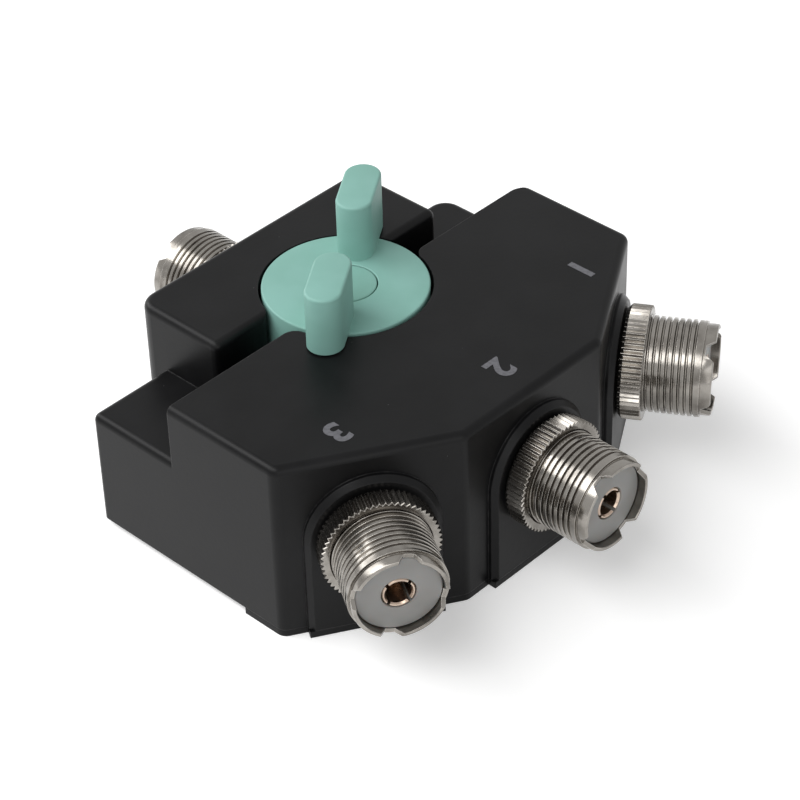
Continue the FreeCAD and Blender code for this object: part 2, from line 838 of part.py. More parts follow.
def make_nut(port):
    """The round knurled nut that clamps the socket to the casting, bevelled behind."""
    start, length = NUT_START.number, S.nut_length.number
    crest = S.nut_radius.number
    base = crest - S.tooth_depth.number
    teeth = int(S.nut_teeth.number)
    rim = []
    for n in range(teeth * 2 + 1):
        radius = crest if n % 2 else base
        angle = math.pi * n / teeth
        rim.append(V(start, radius * math.cos(angle), radius * math.sin(angle)))
    rim[-1] = rim[0]
    knurl = Part.Face(Part.makePolygon(rim)).extrude(V(length, 0, 0))
    chamfer, back = S.nut_chamfer.number, S.nut_back_chamfer.number
    end = start + length
    side = [V(start, 0, 0), V(start, crest - back, 0), V(start + back, crest, 0),
            V(end - chamfer, crest, 0), V(end, crest - chamfer, 0), V(end, 0, 0), V(start, 0, 0)]
    blank = Part.Face(Part.makePolygon(side)).revolve(V(0, 0, 0), V(1, 0, 0), 360)
    bore = THREAD_MIDDLE.number + S.thread_gap.number
    hole = Part.makeCylinder(bore, length + 2, V(start - 1, 0, 0), V(1, 0, 0))
    item = DOC.addObject("Part::Feature", port.name + "_nut")
    item.Label = port.name + "_nut"
    item.Shape = knurl.common(blank).cut(hole)
    place = V(port.x.number, port.y.number, S.port_height.number)
    item.Placement = FreeCAD.Placement(place, FreeCAD.Rotation(UP, port.turn.number))
    SUBPARTS.append(item)


def make_insulator(port):
    """The insulating plug that fills the shell and holds the centre contact."""
    piece = Piece(port.name + "_insulator")
    step = FLANGE_BACK + S.lip_thickness + S.seat_gap
    front = S.shell_length - S.insulator_recess
    neck = FLANGE_BACK - S.neck_length
    bore = S.contact_radius + S.seat_gap
    points = [
        (neck, S.tail_radius + S.seat_gap),
        (neck, S.insulator_neck),
        (step, S.insulator_neck),
        (step, S.bore_radius - S.seat_gap),
        (front, S.bore_radius - S.seat_gap),
        (front, bore),
        (S.contact_root, bore),
        (S.contact_root, S.tail_radius + S.seat_gap),
    ]
    piece.spin(outline(piece.sketch("XZ_Plane"), points), "H_Axis")
    piece.place(port.x, port.y, S.port_height, port.turn)


def make_contact(port):
    """The slotted spring contact in the middle of a socket, with its tail inside."""
    piece = Piece(port.name + "_contact")
    front = S.shell_length - S.contact_recess
    root_end = S.contact_root + S.seat_gap
    points = [
        (-S.tail_length, 0),
        (-S.tail_length, S.tail_radius),
        (root_end, S.tail_radius),
        (root_end, S.contact_radius),
        (front, S.contact_radius),
        (front, S.contact_bore + S.contact_chamfer),
        (front - S.contact_chamfer, S.contact_bore),
        (front - S.contact_depth, S.contact_bore),
        (front - S.contact_depth, 0),
    ]
    piece.spin(outline(piece.sketch("XZ_Plane"), points), "H_Axis")
    for role in ("XY_Plane", "XZ_Plane"):
        half = S.slot_width / 2
        slot = outline(rolled(piece.sketch(role), port.slot_roll),
                       rectangle(front - S.slot_depth, front + 1, -half, half))
        piece.pocket(slot, S.contact_radius * 2 + 1, both_ways=True)
    piece.place(port.x, port.y, S.port_height, port.turn)


def make_contact_spring(port):
    """The spring strip from a contact's tail in to the rotor."""
    piece = Piece(port.name + "_contact_spring")
    thick = S.spring_thickness
    tip = -port.reach - S.tip_half
    slope = -port.reach + S.tip_half
    rise = slope + S.slope_run
    lean = thick / 3
    points = [
        (tip, S.tip_level),
        (slope, S.tip_level),
        (rise, S.spring_level),
        (-S.spring_leg, S.spring_level),
        (-S.spring_leg, S.spring_top),
        (-S.spring_leg - thick, S.spring_top),
        (-S.spring_leg - thick, S.spring_level + thick),
        (rise - lean, S.spring_level + thick),
        (slope - lean, S.tip_level + thick),
        (tip, S.tip_level + thick),
    ]
    piece.pad(outline(piece.sketch("XZ_Plane"), points), S.spring_width, both_ways=True)
    eye = circle(piece.sketch("YZ_Plane", -S.spring_leg - thick - 0.1), 0, S.port_height,
                 S.tail_radius + S.seat_gap / 2)
    piece.pocket(eye, thick + 0.2)
    piece.place(port.x, port.y, 0, port.turn)


def make_knob():
    """The moulded knob: a drum in the recess and two upright grips that overhang its rim."""
    piece = Piece("knob")
    low = S.ear_top + S.knob_lift
    piece.add("Cylinder", 0, 0, low, Radius=S.knob_radius, Height=KNOB_TOP - low)
    piece.fillet(S.knob_edge, level_at(KNOB_TOP))
    for side in (-1, 1):
        half = S.grip_half_length - S.grip_half_width
        middle = side * S.grip_centre
        base = KNOB_TOP - S.knob_edge
        height = S.grip_height + S.knob_edge
        piece.add("Box", middle - half, -S.grip_half_width, KNOB_TOP,
                  Length=half * 2, Width=S.grip_half_width * 2, Height=S.grip_height)
        for end in (-1, 1):
            inner = end != side
            piece.add("Cylinder", middle + end * half, 0, base if inner else KNOB_TOP,
                      Radius=S.grip_half_width, Height=height if inner else S.grip_height)
    piece.fillet(S.grip_round, level_at(KNOB_TOP + S.grip_height))
    hollow_knob(piece, low)
    piece.place(0, 0, 0, POINTER)


def hollow_knob(piece, low):
    """The hollow under the knob, its hub, stop ribs, shaft hole and the well for the cap."""
    ceiling = KNOB_TOP - S.knob_top_wall
    hollow = circle(piece.sketch("XY_Plane", low - 1), 0, 0, S.knob_radius - S.knob_rim_wall)
    piece.pocket(hollow, ceiling - low + 1)
    hub_low = S.ear_top + S.seat_gap
    piece.add("Cylinder", 0, 0, hub_low, Radius=S.hub_radius, Height=ceiling + 0.5 - hub_low)
    spread = bearing(S.stop_radius + S.rib_half + S.seat_gap * 2, S.stop_distance)
    pin = 90 - POINTER
    for angle in (pin + spread, pin - spread - STEP * 2):
        turned = piece.primitive("AdditiveBox", S.hub_radius * cosine(angle) - 0.5 * cosine(angle)
                                 + S.rib_half * sine(angle),
                                 S.hub_radius * sine(angle) - 0.5 * sine(angle)
                                 - S.rib_half * cosine(angle), low,
                                 Length=S.knob_radius - S.knob_rim_wall - S.hub_radius + 1,
                                 Width=S.rib_half * 2, Height=ceiling + 0.5 - low)
        piece.settle(turned_about(turned, "Placement", UP, angle), True)
    piece.cut("Cylinder", 0, 0, CAP_SEAT, Radius=S.cap_radius + S.cap_gap, Height=S.cap_thickness + 1)
    piece.cut("Cylinder", 0, 0, HEAD_SEAT, Radius=S.screw_head_radius + 0.3, Height=S.head_pocket + 1)
    piece.cut("Cylinder", 0, 0, SHAFT_TOP, Radius=S.screw_radius + 0.15, Height=S.hub_web + 1)
    shaft_hole(piece, hub_low, SHAFT_TOP - hub_low)


def shaft_hole(piece, low, height):
    """A hole for the shaft, flat on one side so that the piece turns with it."""
    radius = S.shaft_radius + S.running_gap
    flat = S.flat_distance + S.running_gap
    half = root(radius * radius - flat * flat) + 0.1
    piece.cut("Cylinder", 0, 0, low, Radius=radius, Height=height)
    piece.add("Box", flat, -half, low, Length=radius - flat + 0.2, Width=half * 2, Height=height)


def make_knob_cap():
    piece = Piece("knob_cap")
    piece.add("Cylinder", 0, 0, CAP_SEAT + S.seat_gap, Radius=S.cap_radius,
              Height=S.cap_thickness - S.seat_gap)
    piece.fillet(S.knob_edge, level_at(KNOB_TOP))
    piece.place(0, 0, 0, POINTER)


def make_knob_screw():
    piece = Piece("knob_screw")
    top = HEAD_SEAT + S.seat_gap + S.screw_head_height
    points = [
        (0, top - S.screw_length),
        (S.screw_radius, top - S.screw_length),
        (S.screw_radius, HEAD_SEAT + S.seat_gap),
        (S.screw_head_radius, HEAD_SEAT + S.seat_gap),
        (S.screw_head_radius, top),
        (0, top),
    ]
    piece.spin(outline(piece.sketch("XZ_Plane"), points), "V_Axis")
    for turn in (0, 1):
        long, narrow = S.screw_head_radius * 1.3, 0.6
        size_x, size_y = (narrow, long) if turn else (long, narrow)
        piece.cut("Box", sized(size_x) / -2, sized(size_y) / -2, top - 1,
                  Length=size_x, Width=size_y, Height=2)
    piece.place(0, 0, 0, POINTER)


def make_shaft():
    """The brass shaft: flats for the knob, detent wheel and rotor, grooves for two clips."""
    piece = Piece("shaft")
    top = SHAFT_TOP - S.seat_gap
    clip_low = CLIP_TOP - S.clip_thickness
    low_clip = S.rotor_bottom - S.seat_gap - S.clip_thickness
    radius, groove, gap = S.shaft_radius, S.groove_radius, S.seat_gap / 2
    points = [(0, S.shaft_bottom), (radius, S.shaft_bottom)]
    for level in (low_clip, clip_low):
        points += [(radius, level - gap), (groove, level - gap),
                   (groove, level + S.clip_thickness + gap), (radius, level + S.clip_thickness + gap)]
    points += [(radius, top), (0, top)]
    piece.spin(outline(piece.sketch("XZ_Plane"), points), "V_Axis")
    for low, high in ((S.shaft_bottom - 1, STAR_TOP + S.seat_gap), (S.ear_top, top + 1)):
        piece.cut("Box", S.flat_distance, -radius, low,
                  Length=radius, Width=radius * 2, Height=high - low)
    piece.cut("Cylinder", 0, 0, top - S.screw_length + S.hub_web, Radius=S.screw_radius + S.seat_gap,
              Height=S.screw_length + 1)
    piece.place(0, 0, 0, POINTER)


def make_shaft_bush():
    piece = Piece("shaft_bush")
    piece.add("Cylinder", 0, 0, S.boss_bottom, Radius=S.bush_radius - S.seat_gap / 2,
              Height=S.ear_top - S.boss_bottom)
    piece.cut("Cylinder", 0, 0, S.boss_bottom - 1, Radius=S.shaft_radius + S.running_gap,
              Height=S.ear_top - S.boss_bottom + 2)


def make_thrust_washer():
    piece = Piece("thrust_washer")
    low = WASHER_TOP - S.washer_thickness
    piece.add("Cylinder", 0, 0, low, Radius=S.boss_radius - S.seat_gap, Height=S.washer_thickness)
    piece.cut("Cylinder", 0, 0, low - 1, Radius=S.shaft_radius + S.running_gap,
              Height=S.washer_thickness + 2)
    piece.place(0, 0, 0, POINTER)


def make_clip(name, low):
    """A spring clip in a groove of the shaft, open on one side."""
    piece = Piece(name)
    piece.add("Cylinder", 0, 0, low, Radius=S.clip_radius, Height=S.clip_thickness)
    piece.cut("Cylinder", 0, 0, low - 1, Radius=S.groove_radius + S.seat_gap,
              Height=S.clip_thickness + 2)
    piece.cut("Box", 0, -S.clip_opening, low - 1, Length=S.clip_radius + 1,
              Width=S.clip_opening * 2, Height=S.clip_thickness + 2)
    piece.place(0, 0, 0, POINTER)


def make_detent_wheel():
    """The wheel that holds the knob at each socket: a notch for each place."""
    piece = Piece("detent_wheel")
    height = STAR_TOP - S.star_bottom
    piece.add("Cylinder", 0, 0, S.star_bottom, Radius=S.star_radius, Height=height)
    notch_x = DETENT_FACE - 0.05
    for place in range(3):
        angle = 180 - POINTER - STEP * place
        piece.cut("Cylinder", notch_x * cosine(angle), notch_x * sine(angle), S.star_bottom - 1,
                  Radius=S.notch_radius, Height=height + 2)
    shaft_hole(piece, S.star_bottom, height)
    piece.place(0, 0, 0, POINTER)


def make_detent_spring():
    """The flat spring whose formed bump drops into the detent wheel's notches."""
    piece = Piece("detent_spring")
    thick = S.detent_thickness
    low = DETENT_LEVEL - S.detent_width / 2
    front, bump_x = -DETENT_FACE, 0.05 - DETENT_FACE
    piece.add("Box", front - thick, -S.detent_tail, low, Length=thick,
              Width=S.detent_tail + S.detent_post_start + 1, Height=S.detent_width)
    piece.add("Box", front - thick, S.detent_post_start, DETENT_LEVEL - S.detent_eye_half,
              Length=thick, Width=S.detent_post_length, Height=S.detent_eye_half * 2)
    piece.add("Cylinder", bump_x, 0, low, Radius=S.bump_radius, Height=S.detent_width)
    piece.cut("Box", front - thick - S.bump_radius, -S.bump_radius - 1, low - 1,
              Length=S.bump_radius, Width=S.bump_radius * 2 + 2, Height=S.detent_width + 2)
    piece.cut("Cylinder", bump_x, 0, low - 1, Radius=S.bump_radius - thick, Height=S.detent_width + 2)
    eye = circle(piece.sketch("YZ_Plane", front - thick - 0.1),
                 S.detent_post_start + S.detent_post_length / 2, DETENT_LEVEL,
                 S.small_screw_radius + S.seat_gap)
    piece.pocket(eye, thick + 0.2)


def small_screw(name):
    """A small cheese-head screw, head down, its head's seat at the origin."""
    piece = Piece(name)
    points = [
        (0, -S.small_head_height),
        (S.small_head_radius, -S.small_head_height),
        (S.small_head_radius, 0),
        (S.small_screw_radius, 0),
        (S.small_screw_radius, S.small_screw_depth),
        (0, S.small_screw_depth),
    ]
    piece.spin(outline(piece.sketch("XZ_Plane"), points), "V_Axis")
    return piece


def make_detent_screw():
    piece = small_screw("detent_spring_screw")
    piece.place(-DETENT_FACE + S.seat_gap, S.detent_post_start + S.detent_post_length / 2,
                DETENT_LEVEL, 0)
    turned_about(piece.body, "Placement", V(0, 1, 0), -90)
    DOC.recompute()


def make_stop_pin():
    """The pin in the recess floor that the knob's ribs come up against."""
    piece = Piece("stop_pin")
    low = CEILING + 0.1
    piece.add("Cylinder", 0, S.stop_distance, low, Radius=S.stop_radius - S.seat_gap / 2,
              Height=S.ear_top + S.stop_height - low)


def make_rotor():
    """The insulating disc that carries the blade and the grounding ring."""
    piece = Piece("rotor")
    piece.add("Cylinder", 0, 0, S.rotor_bottom, Radius=S.rotor_radius,
              Height=S.rotor_top - S.rotor_bottom)
    collar_top = S.star_bottom - S.seat_gap
    piece.add("Cylinder", 0, 0, S.rotor_bottom, Radius=S.collar_radius,
              Height=collar_top - S.rotor_bottom)
    shaft_hole(piece, S.rotor_bottom, collar_top - S.rotor_bottom)
    for x, y in blade_rivet_places() + ring_rivet_places():
        piece.cut("Cylinder", x, y, S.rotor_bottom - 1, Radius=S.rivet_radius + S.seat_gap,
                  Height=S.rotor_top - S.rotor_bottom + 2)
    piece.place(0, 0, 0, POINTER)


def blade_rivet_places():
    return [(S.inner_rivet, sized(0)), (S.outer_rivet, sized(0))]


def ring_rivet_places():
    angles = [sized(angle) for angle in (60, 130, 230, 300)]
    return [(S.ring_rivet * cosine(a), S.ring_rivet * sine(a)) for a in angles]


def make_blade():
    """The brass blade: a pad round the shaft and an arm out to the sockets' springs."""
    piece = Piece("rotor_blade")
    thick = S.foil_thickness
    piece.add("Cylinder", 0, 0, S.rotor_top, Radius=S.pad_outer, Height=thick)
    piece.add("Box", 0, -S.blade_half_width, S.rotor_top,
              Length=S.blade_length, Width=S.blade_half_width * 2, Height=thick)
    piece.cut("Cylinder", 0, 0, S.rotor_top - 1, Radius=S.pad_inner, Height=thick + 2)
    for x, y in blade_rivet_places():
        piece.cut("Cylinder", x, y, S.rotor_top - 1, Radius=S.rivet_radius + S.seat_gap,
                  Height=thick + 2)
    piece.place(0, 0, 0, POINTER)


def make_ground_ring():
    """The brass ring that grounds the sockets not in use, open where the blade is."""
    piece = Piece("grounding_ring")
    thick = S.foil_thickness
    ring = circle(piece.sketch("XY_Plane", S.rotor_top), 0, 0, S.ring_outer)
    piece.pad(circle(ring, 0, 0, S.ring_inner), thick)
    far = S.ring_outer * 1.5
    angle = S.ring_half_gap
    wedge = outline(piece.sketch("XY_Plane", S.rotor_top - 1), [
        (0, 0), (far * cosine(angle), -far * sine(angle)), (far * cosine(angle), far * sine(angle)),
    ])
    piece.pocket(wedge, thick + 2)
    for x, y in ring_rivet_places():
        piece.cut("Cylinder", x, y, S.rotor_top - 1, Radius=S.rivet_radius + S.seat_gap,
                  Height=thick + 2)
    piece.place(0, 0, 0, POINTER)


def make_rivets(name, places):
    """Rivets through the rotor, with a head above the brass and one below the disc."""
    rivets = []
    for x, y in places:
        piece = Piece("rivet", listed=False)
        low, top = S.rotor_bottom - S.seat_gap, FOIL_TOP + S.seat_gap
        high, head = top + S.rivet_head_height, S.rivet_head
        radius = S.rivet_radius
        points = [
            (0, low - S.rivet_head_height), (head, low - S.rivet_head_height), (head, low),
            (radius, low), (radius, top), (head, top), (head, high), (0, high),
        ]
        piece.spin(outline(piece.sketch("XZ_Plane"), points), "V_Axis")
        where_x = x * cosine(POINTER) - y * sine(POINTER)
        where_y = x * sine(POINTER) + y * cosine(POINTER)
        rivets.append(piece.place(where_x, where_y, 0, POINTER).body)
    group(name, rivets)


def make_ground_spring():
    """The spring that joins the grounding ring to the casting."""
    piece = Piece("grounding_spring")
    thick = S.spring_thickness
    tip_end = S.ground_tip + S.tip_half * 2
    rise = tip_end + S.slope_run
    lean = thick / 3
    level = GROUND_LEVEL - thick
    far = S.ground_post_x + S.ground_post_radius
    points = [
        (S.ground_tip, S.tip_level), (tip_end, S.tip_level), (rise, level), (far, level),
        (far, level + thick), (rise - lean, level + thick), (tip_end - lean, S.tip_level + thick),
        (S.ground_tip, S.tip_level + thick),
    ]
    piece.pad(outline(piece.sketch("XZ_Plane"), points), S.spring_width, both_ways=True)
    piece.cut("Cylinder", S.ground_post_x, 0, level - 1, Radius=S.small_screw_radius + S.seat_gap,
              Height=thick + 2)
    piece.place(0, S.ground_post_y, 0, 0)


def make_ground_screw():
    piece = small_screw("grounding_spring_screw")
    seat = GROUND_LEVEL - S.spring_thickness - S.seat_gap
    piece.place(S.ground_post_x, S.ground_post_y, seat, 0)


def check_and_export():
    """Stop if anything failed, then write one file for each sub-part."""
    DOC.recompute()
    for item in DOC.Objects:
        if "Invalid" in item.State or "Error" in item.State:
            raise RuntimeError("%s is in state %s" % (item.Label, item.State))
    for item in SUBPARTS:
        if item.Shape.isNull() or not item.Shape.isValid():
            raise RuntimeError("%s has no valid shape" % item.Label)
    os.makedirs("parts", exist_ok=True)
    for item in SUBPARTS:
        item.Shape.exportStep("parts/%s.step" % item.Label)
        print("%-28s %2d solid(s) %9.1f mm3" % (item.Label, len(item.Shape.Solids), item.Shape.Volume))


make_housing()
make_bottom_plate()
make_plate_screws()
for socket in PORTS:
    make_shell(socket)
    make_nut(socket)
    make_insulator(socket)
    make_contact(socket)
    make_contact_spring(socket)
make_knob()
make_knob_cap()
make_knob_screw()
make_shaft()
make_shaft_bush()
make_thrust_washer()
make_clip("shaft_clip", CLIP_TOP - S.clip_thickness)
make_clip("rotor_clip", S.rotor_bottom - S.seat_gap - S.clip_thickness)
make_detent_wheel()
make_detent_spring()
make_detent_screw()
make_stop_pin()
make_rotor()
make_blade()
make_ground_ring()
make_rivets("blade_rivets", blade_rivet_places())
make_rivets("ring_rivets", ring_rivet_places())
make_ground_spring()
make_ground_screw()
check_and_export()
print("step between sockets %.2f degrees, whole turn %.2f degrees" % (STEP.number, STEP.number * 2))
print("blade points to %.2f degrees at rest" % POINTER.number)
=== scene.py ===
"""Looks for a coaxial antenna switch: a black cast box, four plated sockets and a teal knob.

Sizes are in millimetres in this file, and meshes are made in metres. The origin is on the
knob's axis, on the underside of the bottom plate. +X runs along the channel in the top, and
+Y points to the common socket at the rear.
"""
from __future__ import annotations

import logging
import math
from dataclasses import dataclass, field
from enum import Enum
from typing import Any, Iterable, Sequence

import bmesh
import bpy
from mathutils import Matrix, Vector

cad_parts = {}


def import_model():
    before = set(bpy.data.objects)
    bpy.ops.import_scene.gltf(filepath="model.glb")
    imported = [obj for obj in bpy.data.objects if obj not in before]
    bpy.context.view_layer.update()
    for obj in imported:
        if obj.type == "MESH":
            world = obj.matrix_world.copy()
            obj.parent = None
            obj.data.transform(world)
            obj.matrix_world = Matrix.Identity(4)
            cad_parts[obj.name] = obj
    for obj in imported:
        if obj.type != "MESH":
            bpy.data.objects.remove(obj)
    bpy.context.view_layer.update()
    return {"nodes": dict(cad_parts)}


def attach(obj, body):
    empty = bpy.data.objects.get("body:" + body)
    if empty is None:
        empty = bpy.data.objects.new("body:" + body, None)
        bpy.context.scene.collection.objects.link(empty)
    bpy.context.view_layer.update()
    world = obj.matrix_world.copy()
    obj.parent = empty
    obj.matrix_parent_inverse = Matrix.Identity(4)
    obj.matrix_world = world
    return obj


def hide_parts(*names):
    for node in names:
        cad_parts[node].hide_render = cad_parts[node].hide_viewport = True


LOG = logging.getLogger("coaxial_switch")
MM = 0.001
BEVEL_SAMPLES = 6
NEAR_ZERO = 0.02
Point = tuple[float, float]


class Body(Enum):
    """The rigid bodies that pieces ride on."""

    BOX = "switch_box"
    KNOB = "knob_and_rotor"


class Signal:
    """A number in a material, so that shader maths reads as Python."""

    def __init__(self, shader: Shader, socket: bpy.types.NodeSocket) -> None:
        """Wrap a node's output socket."""
        self.shader = shader
        self.socket = socket

    def _with(self, operation: str, other: Signal | float, flip: bool = False) -> Signal:
        """Add a Math node.

        Args:
            operation: The Math node's operation.
            other: The other number.
            flip: True if the other number comes first.

        Returns:
            The node's result.
        """
        pair = (other, self) if flip else (self, other)
        return self.shader.node("Math", {"operation": operation}, {0: pair[0], 1: pair[1]})

    def __add__(self, other: Signal | float) -> Signal:
        """Add."""
        return self._with("ADD", other)

    __radd__ = __add__

    def __sub__(self, other: Signal | float) -> Signal:
        """Subtract."""
        return self._with("SUBTRACT", other)

    def __rsub__(self, other: Signal | float) -> Signal:
        """Subtract this from a number."""
        return self._with("SUBTRACT", other, flip=True)

    def __mul__(self, other: Signal | float) -> Signal:
        """Multiply."""
        return self._with("MULTIPLY", other)

    __rmul__ = __mul__

    def between(self, low: float, high: float) -> Signal:
        """Rescale so that low gives 0 and high gives 1, held in that range."""
        settings = {"interpolation_type": "SMOOTHSTEP"}
        return self.shader.node("MapRange", settings, {0: self, 1: low, 2: high, 3: 0.0, 4: 1.0})


class Shader:
    """A material's node tree and the few nodes that the finishes share."""

    def __init__(self, name: str) -> None:
        """Make an empty material with a Principled shader.

        Args:
            name: The material's name.
        """
        self.material = bpy.data.materials.new(name)
        self.material.use_nodes = True
        self.tree = self.material.node_tree
        self.tree.nodes.clear()
        self.surface = self.tree.nodes.new("ShaderNodeBsdfPrincipled")
        output = self.tree.nodes.new("ShaderNodeOutputMaterial")
        self.tree.links.new(self.surface.outputs[0], output.inputs["Surface"])

    def node(self, kind: str, settings: dict[str, Any], inputs: dict[Any, Any],
             out: str | int = 0) -> Signal:
        """Add a node.

        Args:
            kind: The node's type, without its "ShaderNode" start.
            settings: Properties to set first.
            inputs: Values or signals for its sockets, by name or number.
            out: The output to return.

        Returns:
            The output as a signal.
        """
        item = self.tree.nodes.new("ShaderNode" + kind)
        for name, value in settings.items():
            setattr(item, name, value)
        for name, value in inputs.items():
            if isinstance(value, Signal):
                self.tree.links.new(value.socket, item.inputs[name])
            else:
                item.inputs[name].default_value = value
        return Signal(self, item.outputs[out])

    def set(self, **values: Any) -> None:
        """Set or link the Principled shader's sockets, underscores standing for spaces."""
        for name, value in values.items():
            socket = self.surface.inputs[name.replace("_", " ")]
            if isinstance(value, Signal):
                self.tree.links.new(value.socket, socket)
            else:
                socket.default_value = value

    def place(self, stretch: Sequence[float] = (1, 1, 1)) -> Signal:
        """Object coordinates, stretched along each axis."""
        where = self.node("TexCoord", {}, {}, "Object")
        return self.node("Mapping", {"vector_type": "POINT"}, {"Vector": where, "Scale": stretch})

    def noise(self, size: float, detail: float = 2.0, where: Signal | None = None) -> Signal:
        """Noise whose blotches are about size millimetres across."""
        inputs = {"Vector": where or self.place(), "Scale": 1 / (size * MM), "Detail": detail}
        return self.node("TexNoise", {}, inputs)

    def specks(self, size: float, share: float) -> Signal:
        """Sparse round specks.

        Args:
            size: The spacing of the cells in millimetres.
            share: How much of a cell a speck fills, from 0 to 1.

        Returns:
            1 in a speck, 0 elsewhere.
        """
        inputs = {"Vector": self.place(), "Scale": 1 / (size * MM)}
        near = self.node("TexVoronoi", {}, inputs, "Distance")
        tint = self.node("TexVoronoi", {}, inputs, "Color")
        rare = self.node("SeparateColor", {}, {0: tint}).between(0.86, 0.9)
        return (1 - near.between(share * 0.6, share)) * rare

    def edges(self, reach: float) -> Signal:
        """1 on edges, fading to 0 at about reach millimetres from them."""
        soft = self.rounded(reach)
        hard = self.node("NewGeometry", {}, {}, "Normal")
        same = self.node("VectorMath", {"operation": "DOT_PRODUCT"}, {0: soft, 1: hard}, "Value")
        return (1 - same).between(0.0, 0.25)

    def colours(self, factor: Signal, first: Sequence[float] | Signal,
                second: Sequence[float]) -> Signal:
        """Mix two colours by a factor from 0 to 1."""
        settings = {"data_type": "RGBA"}
        return self.node("Mix", settings, {0: factor, 6: colour(first), 7: colour(second)}, 2)

    def bump(self, height: Signal, depth: float, strength: float = 1.0,
             normal: Signal | None = None) -> Signal:
        """A bump from a height of 0 to 1, depth millimetres deep."""
        inputs: dict[str, Any] = {"Height": height, "Strength": strength, "Distance": depth * MM}
        if normal:
            inputs["Normal"] = normal
        return self.node("Bump", {}, inputs)

    def rounded(self, reach: float) -> Signal:
        """A normal that rounds sharp edges over reach millimetres."""
        return self.node("Bevel", {"samples": BEVEL_SAMPLES}, {"Radius": reach * MM})


def colour(value: Sequence[float] | Signal) -> Any:
    """A colour with its alpha, from sRGB numbers of 0 to 255, or a signal as it is."""
    if isinstance(value, Signal):
        return value
    return [linear(part / 255) for part in value] + [1.0]


def linear(part: float) -> float:
    """One sRGB part as linear light."""
    return part / 12.92 if part <= 0.04045 else ((part + 0.055) / 1.055) ** 2.4


@dataclass(frozen=True)
class SatinPaint:
    """Sprayed satin paint on a casting: faint orange peel, dust, and wear on the edges."""

    name: str
    base: Sequence[float] = (12, 12, 13)
    lift: Sequence[float] = (19, 19, 20)
    edge_wear_and_highlight: Sequence[float] = (70, 70, 69)
    roughness: float = 0.3
    gloss: float = 0.16
    round_edges: float = 0.25

    def make(self) -> bpy.types.Material:
        """Build the material."""
        s = Shader(self.name)
        cloud = s.noise(9.0, 3.0).between(0.3, 0.75)
        fine = s.noise(0.55, 2.0)
        edge = s.edges(0.5) * s.noise(1.6, 3.0).between(0.42, 0.62)
        paint = s.colours(cloud, self.base, self.lift)
        paint = s.colours(edge * 0.35, paint, self.edge_wear_and_highlight)
        dust = s.specks(2.6, 0.045)
        paint = s.colours(dust * 0.25, paint, (130, 130, 128))
        peel = s.bump(s.noise(0.9, 1.0), 0.02, 0.35, s.rounded(self.round_edges))
        s.set(Base_Color=paint, Roughness=cloud * 0.07 + fine * 0.05 + self.roughness, IOR=1.5,
              Specular_IOR_Level=self.gloss, Normal=s.bump(dust, 0.03, 0.6, peel))
        return s.material


@dataclass(frozen=True)
class PlatedMetal:
    """Bright plating over turned metal: fine lathe lines, grey stains, and a painted highlight that
    lightens every sharp edge.
    """

    name: str
    base: Sequence[float] = (158, 154, 148)
    stain: Sequence[float] = (92, 87, 81)
    roughness: float = 0.13
    lines: float = 0.12
    # The lighter colour of the painted highlight on every edge.
    edge_wear_and_highlight: Sequence[float] = (214, 210, 204)

    def make(self) -> bpy.types.Material:
        """Build the material."""
        s = Shader(self.name)
        blotch = s.noise(3.5, 4.0).between(0.35, 0.75)
        fine = s.noise(0.22, 3.0)
        # A painted highlight: every sharp edge, crests and groove floors alike, is mixed half way
        # to the lighter edge colour.
        edge = s.edges(0.25)
        metal = s.colours(blotch * 0.6 + fine * 0.25, self.base, self.stain)
        metal = s.colours(edge * 0.5, metal, self.edge_wear_and_highlight)
        scratch = s.noise(0.35, 4.0, s.place((1, 1, 6)))
        s.set(Base_Color=metal, Metallic=1.0,
              Roughness=blotch * 0.12 + fine * 0.08 + self.roughness,
              Normal=s.bump(scratch, 0.01, self.lines, s.rounded(0.08)))
        return s.material


@dataclass(frozen=True)
class MouldedPlastic:
    """Moulded plastic with a fine satin grain, faint flow clouds and edges a little lighter than
    the body.
    """

    name: str
    base: Sequence[float] = (135, 182, 172)
    cloud: Sequence[float] = (129, 176, 165)
    edge: Sequence[float] = (158, 200, 191)
    roughness: float = 0.42
    grain: float = 0.18
    glow: float = 0.0
    gloss: float = 0.35

    def make(self) -> bpy.types.Material:
        """Build the material."""
        s = Shader(self.name)
        drift = s.noise(7.0, 2.0).between(0.3, 0.7)
        body = s.colours(drift, self.base, self.cloud)
        # Every sharp edge, convex and concave alike, is mixed part way to the lighter edge colour.
        body = s.colours(s.edges(0.35) * 0.45, body, self.edge)
        fine = s.noise(0.16, 2.0)
        s.set(Base_Color=body, Roughness=drift * 0.05 + fine * 0.08 + self.roughness,
              Specular_IOR_Level=self.gloss,
              Normal=s.bump(fine, 0.006, self.grain, s.rounded(0.12)),
              Subsurface_Weight=self.glow, Subsurface_Scale=MM)
        return s.material


@dataclass(frozen=True)
class PrintedInk:
    """Thin screen-printed ink, a little uneven."""

    name: str
    base: Sequence[float] = (100, 100, 105)

    def make(self) -> bpy.types.Material:
        """Build the material."""
        s = Shader(self.name)
        patch = s.noise(0.5, 3.0).between(0.35, 0.7)
        darker = [part * 0.85 for part in self.base]
        s.set(Base_Color=s.colours(patch, self.base, darker), Roughness=patch * 0.1 + 0.42)
        return s.material


@dataclass(frozen=True)
class Laminate:
    """Pressed laminate: layered brown board with paper-like fibres."""

    name: str
    base: Sequence[float] = (128, 86, 48)
    fibre: Sequence[float] = (98, 62, 33)

    def make(self) -> bpy.types.Material:
        """Build the material."""
        s = Shader(self.name)
        layers = s.noise(0.5, 3.0, s.place((0.2, 0.2, 3.0))).between(0.35, 0.65)
        weave = s.noise(0.4, 2.0)
        s.set(Base_Color=s.colours(layers * 0.7 + weave * 0.2, self.base, self.fibre),
              Roughness=weave * 0.15 + 0.45, Normal=s.bump(weave, 0.01, 0.3))
        return s.material


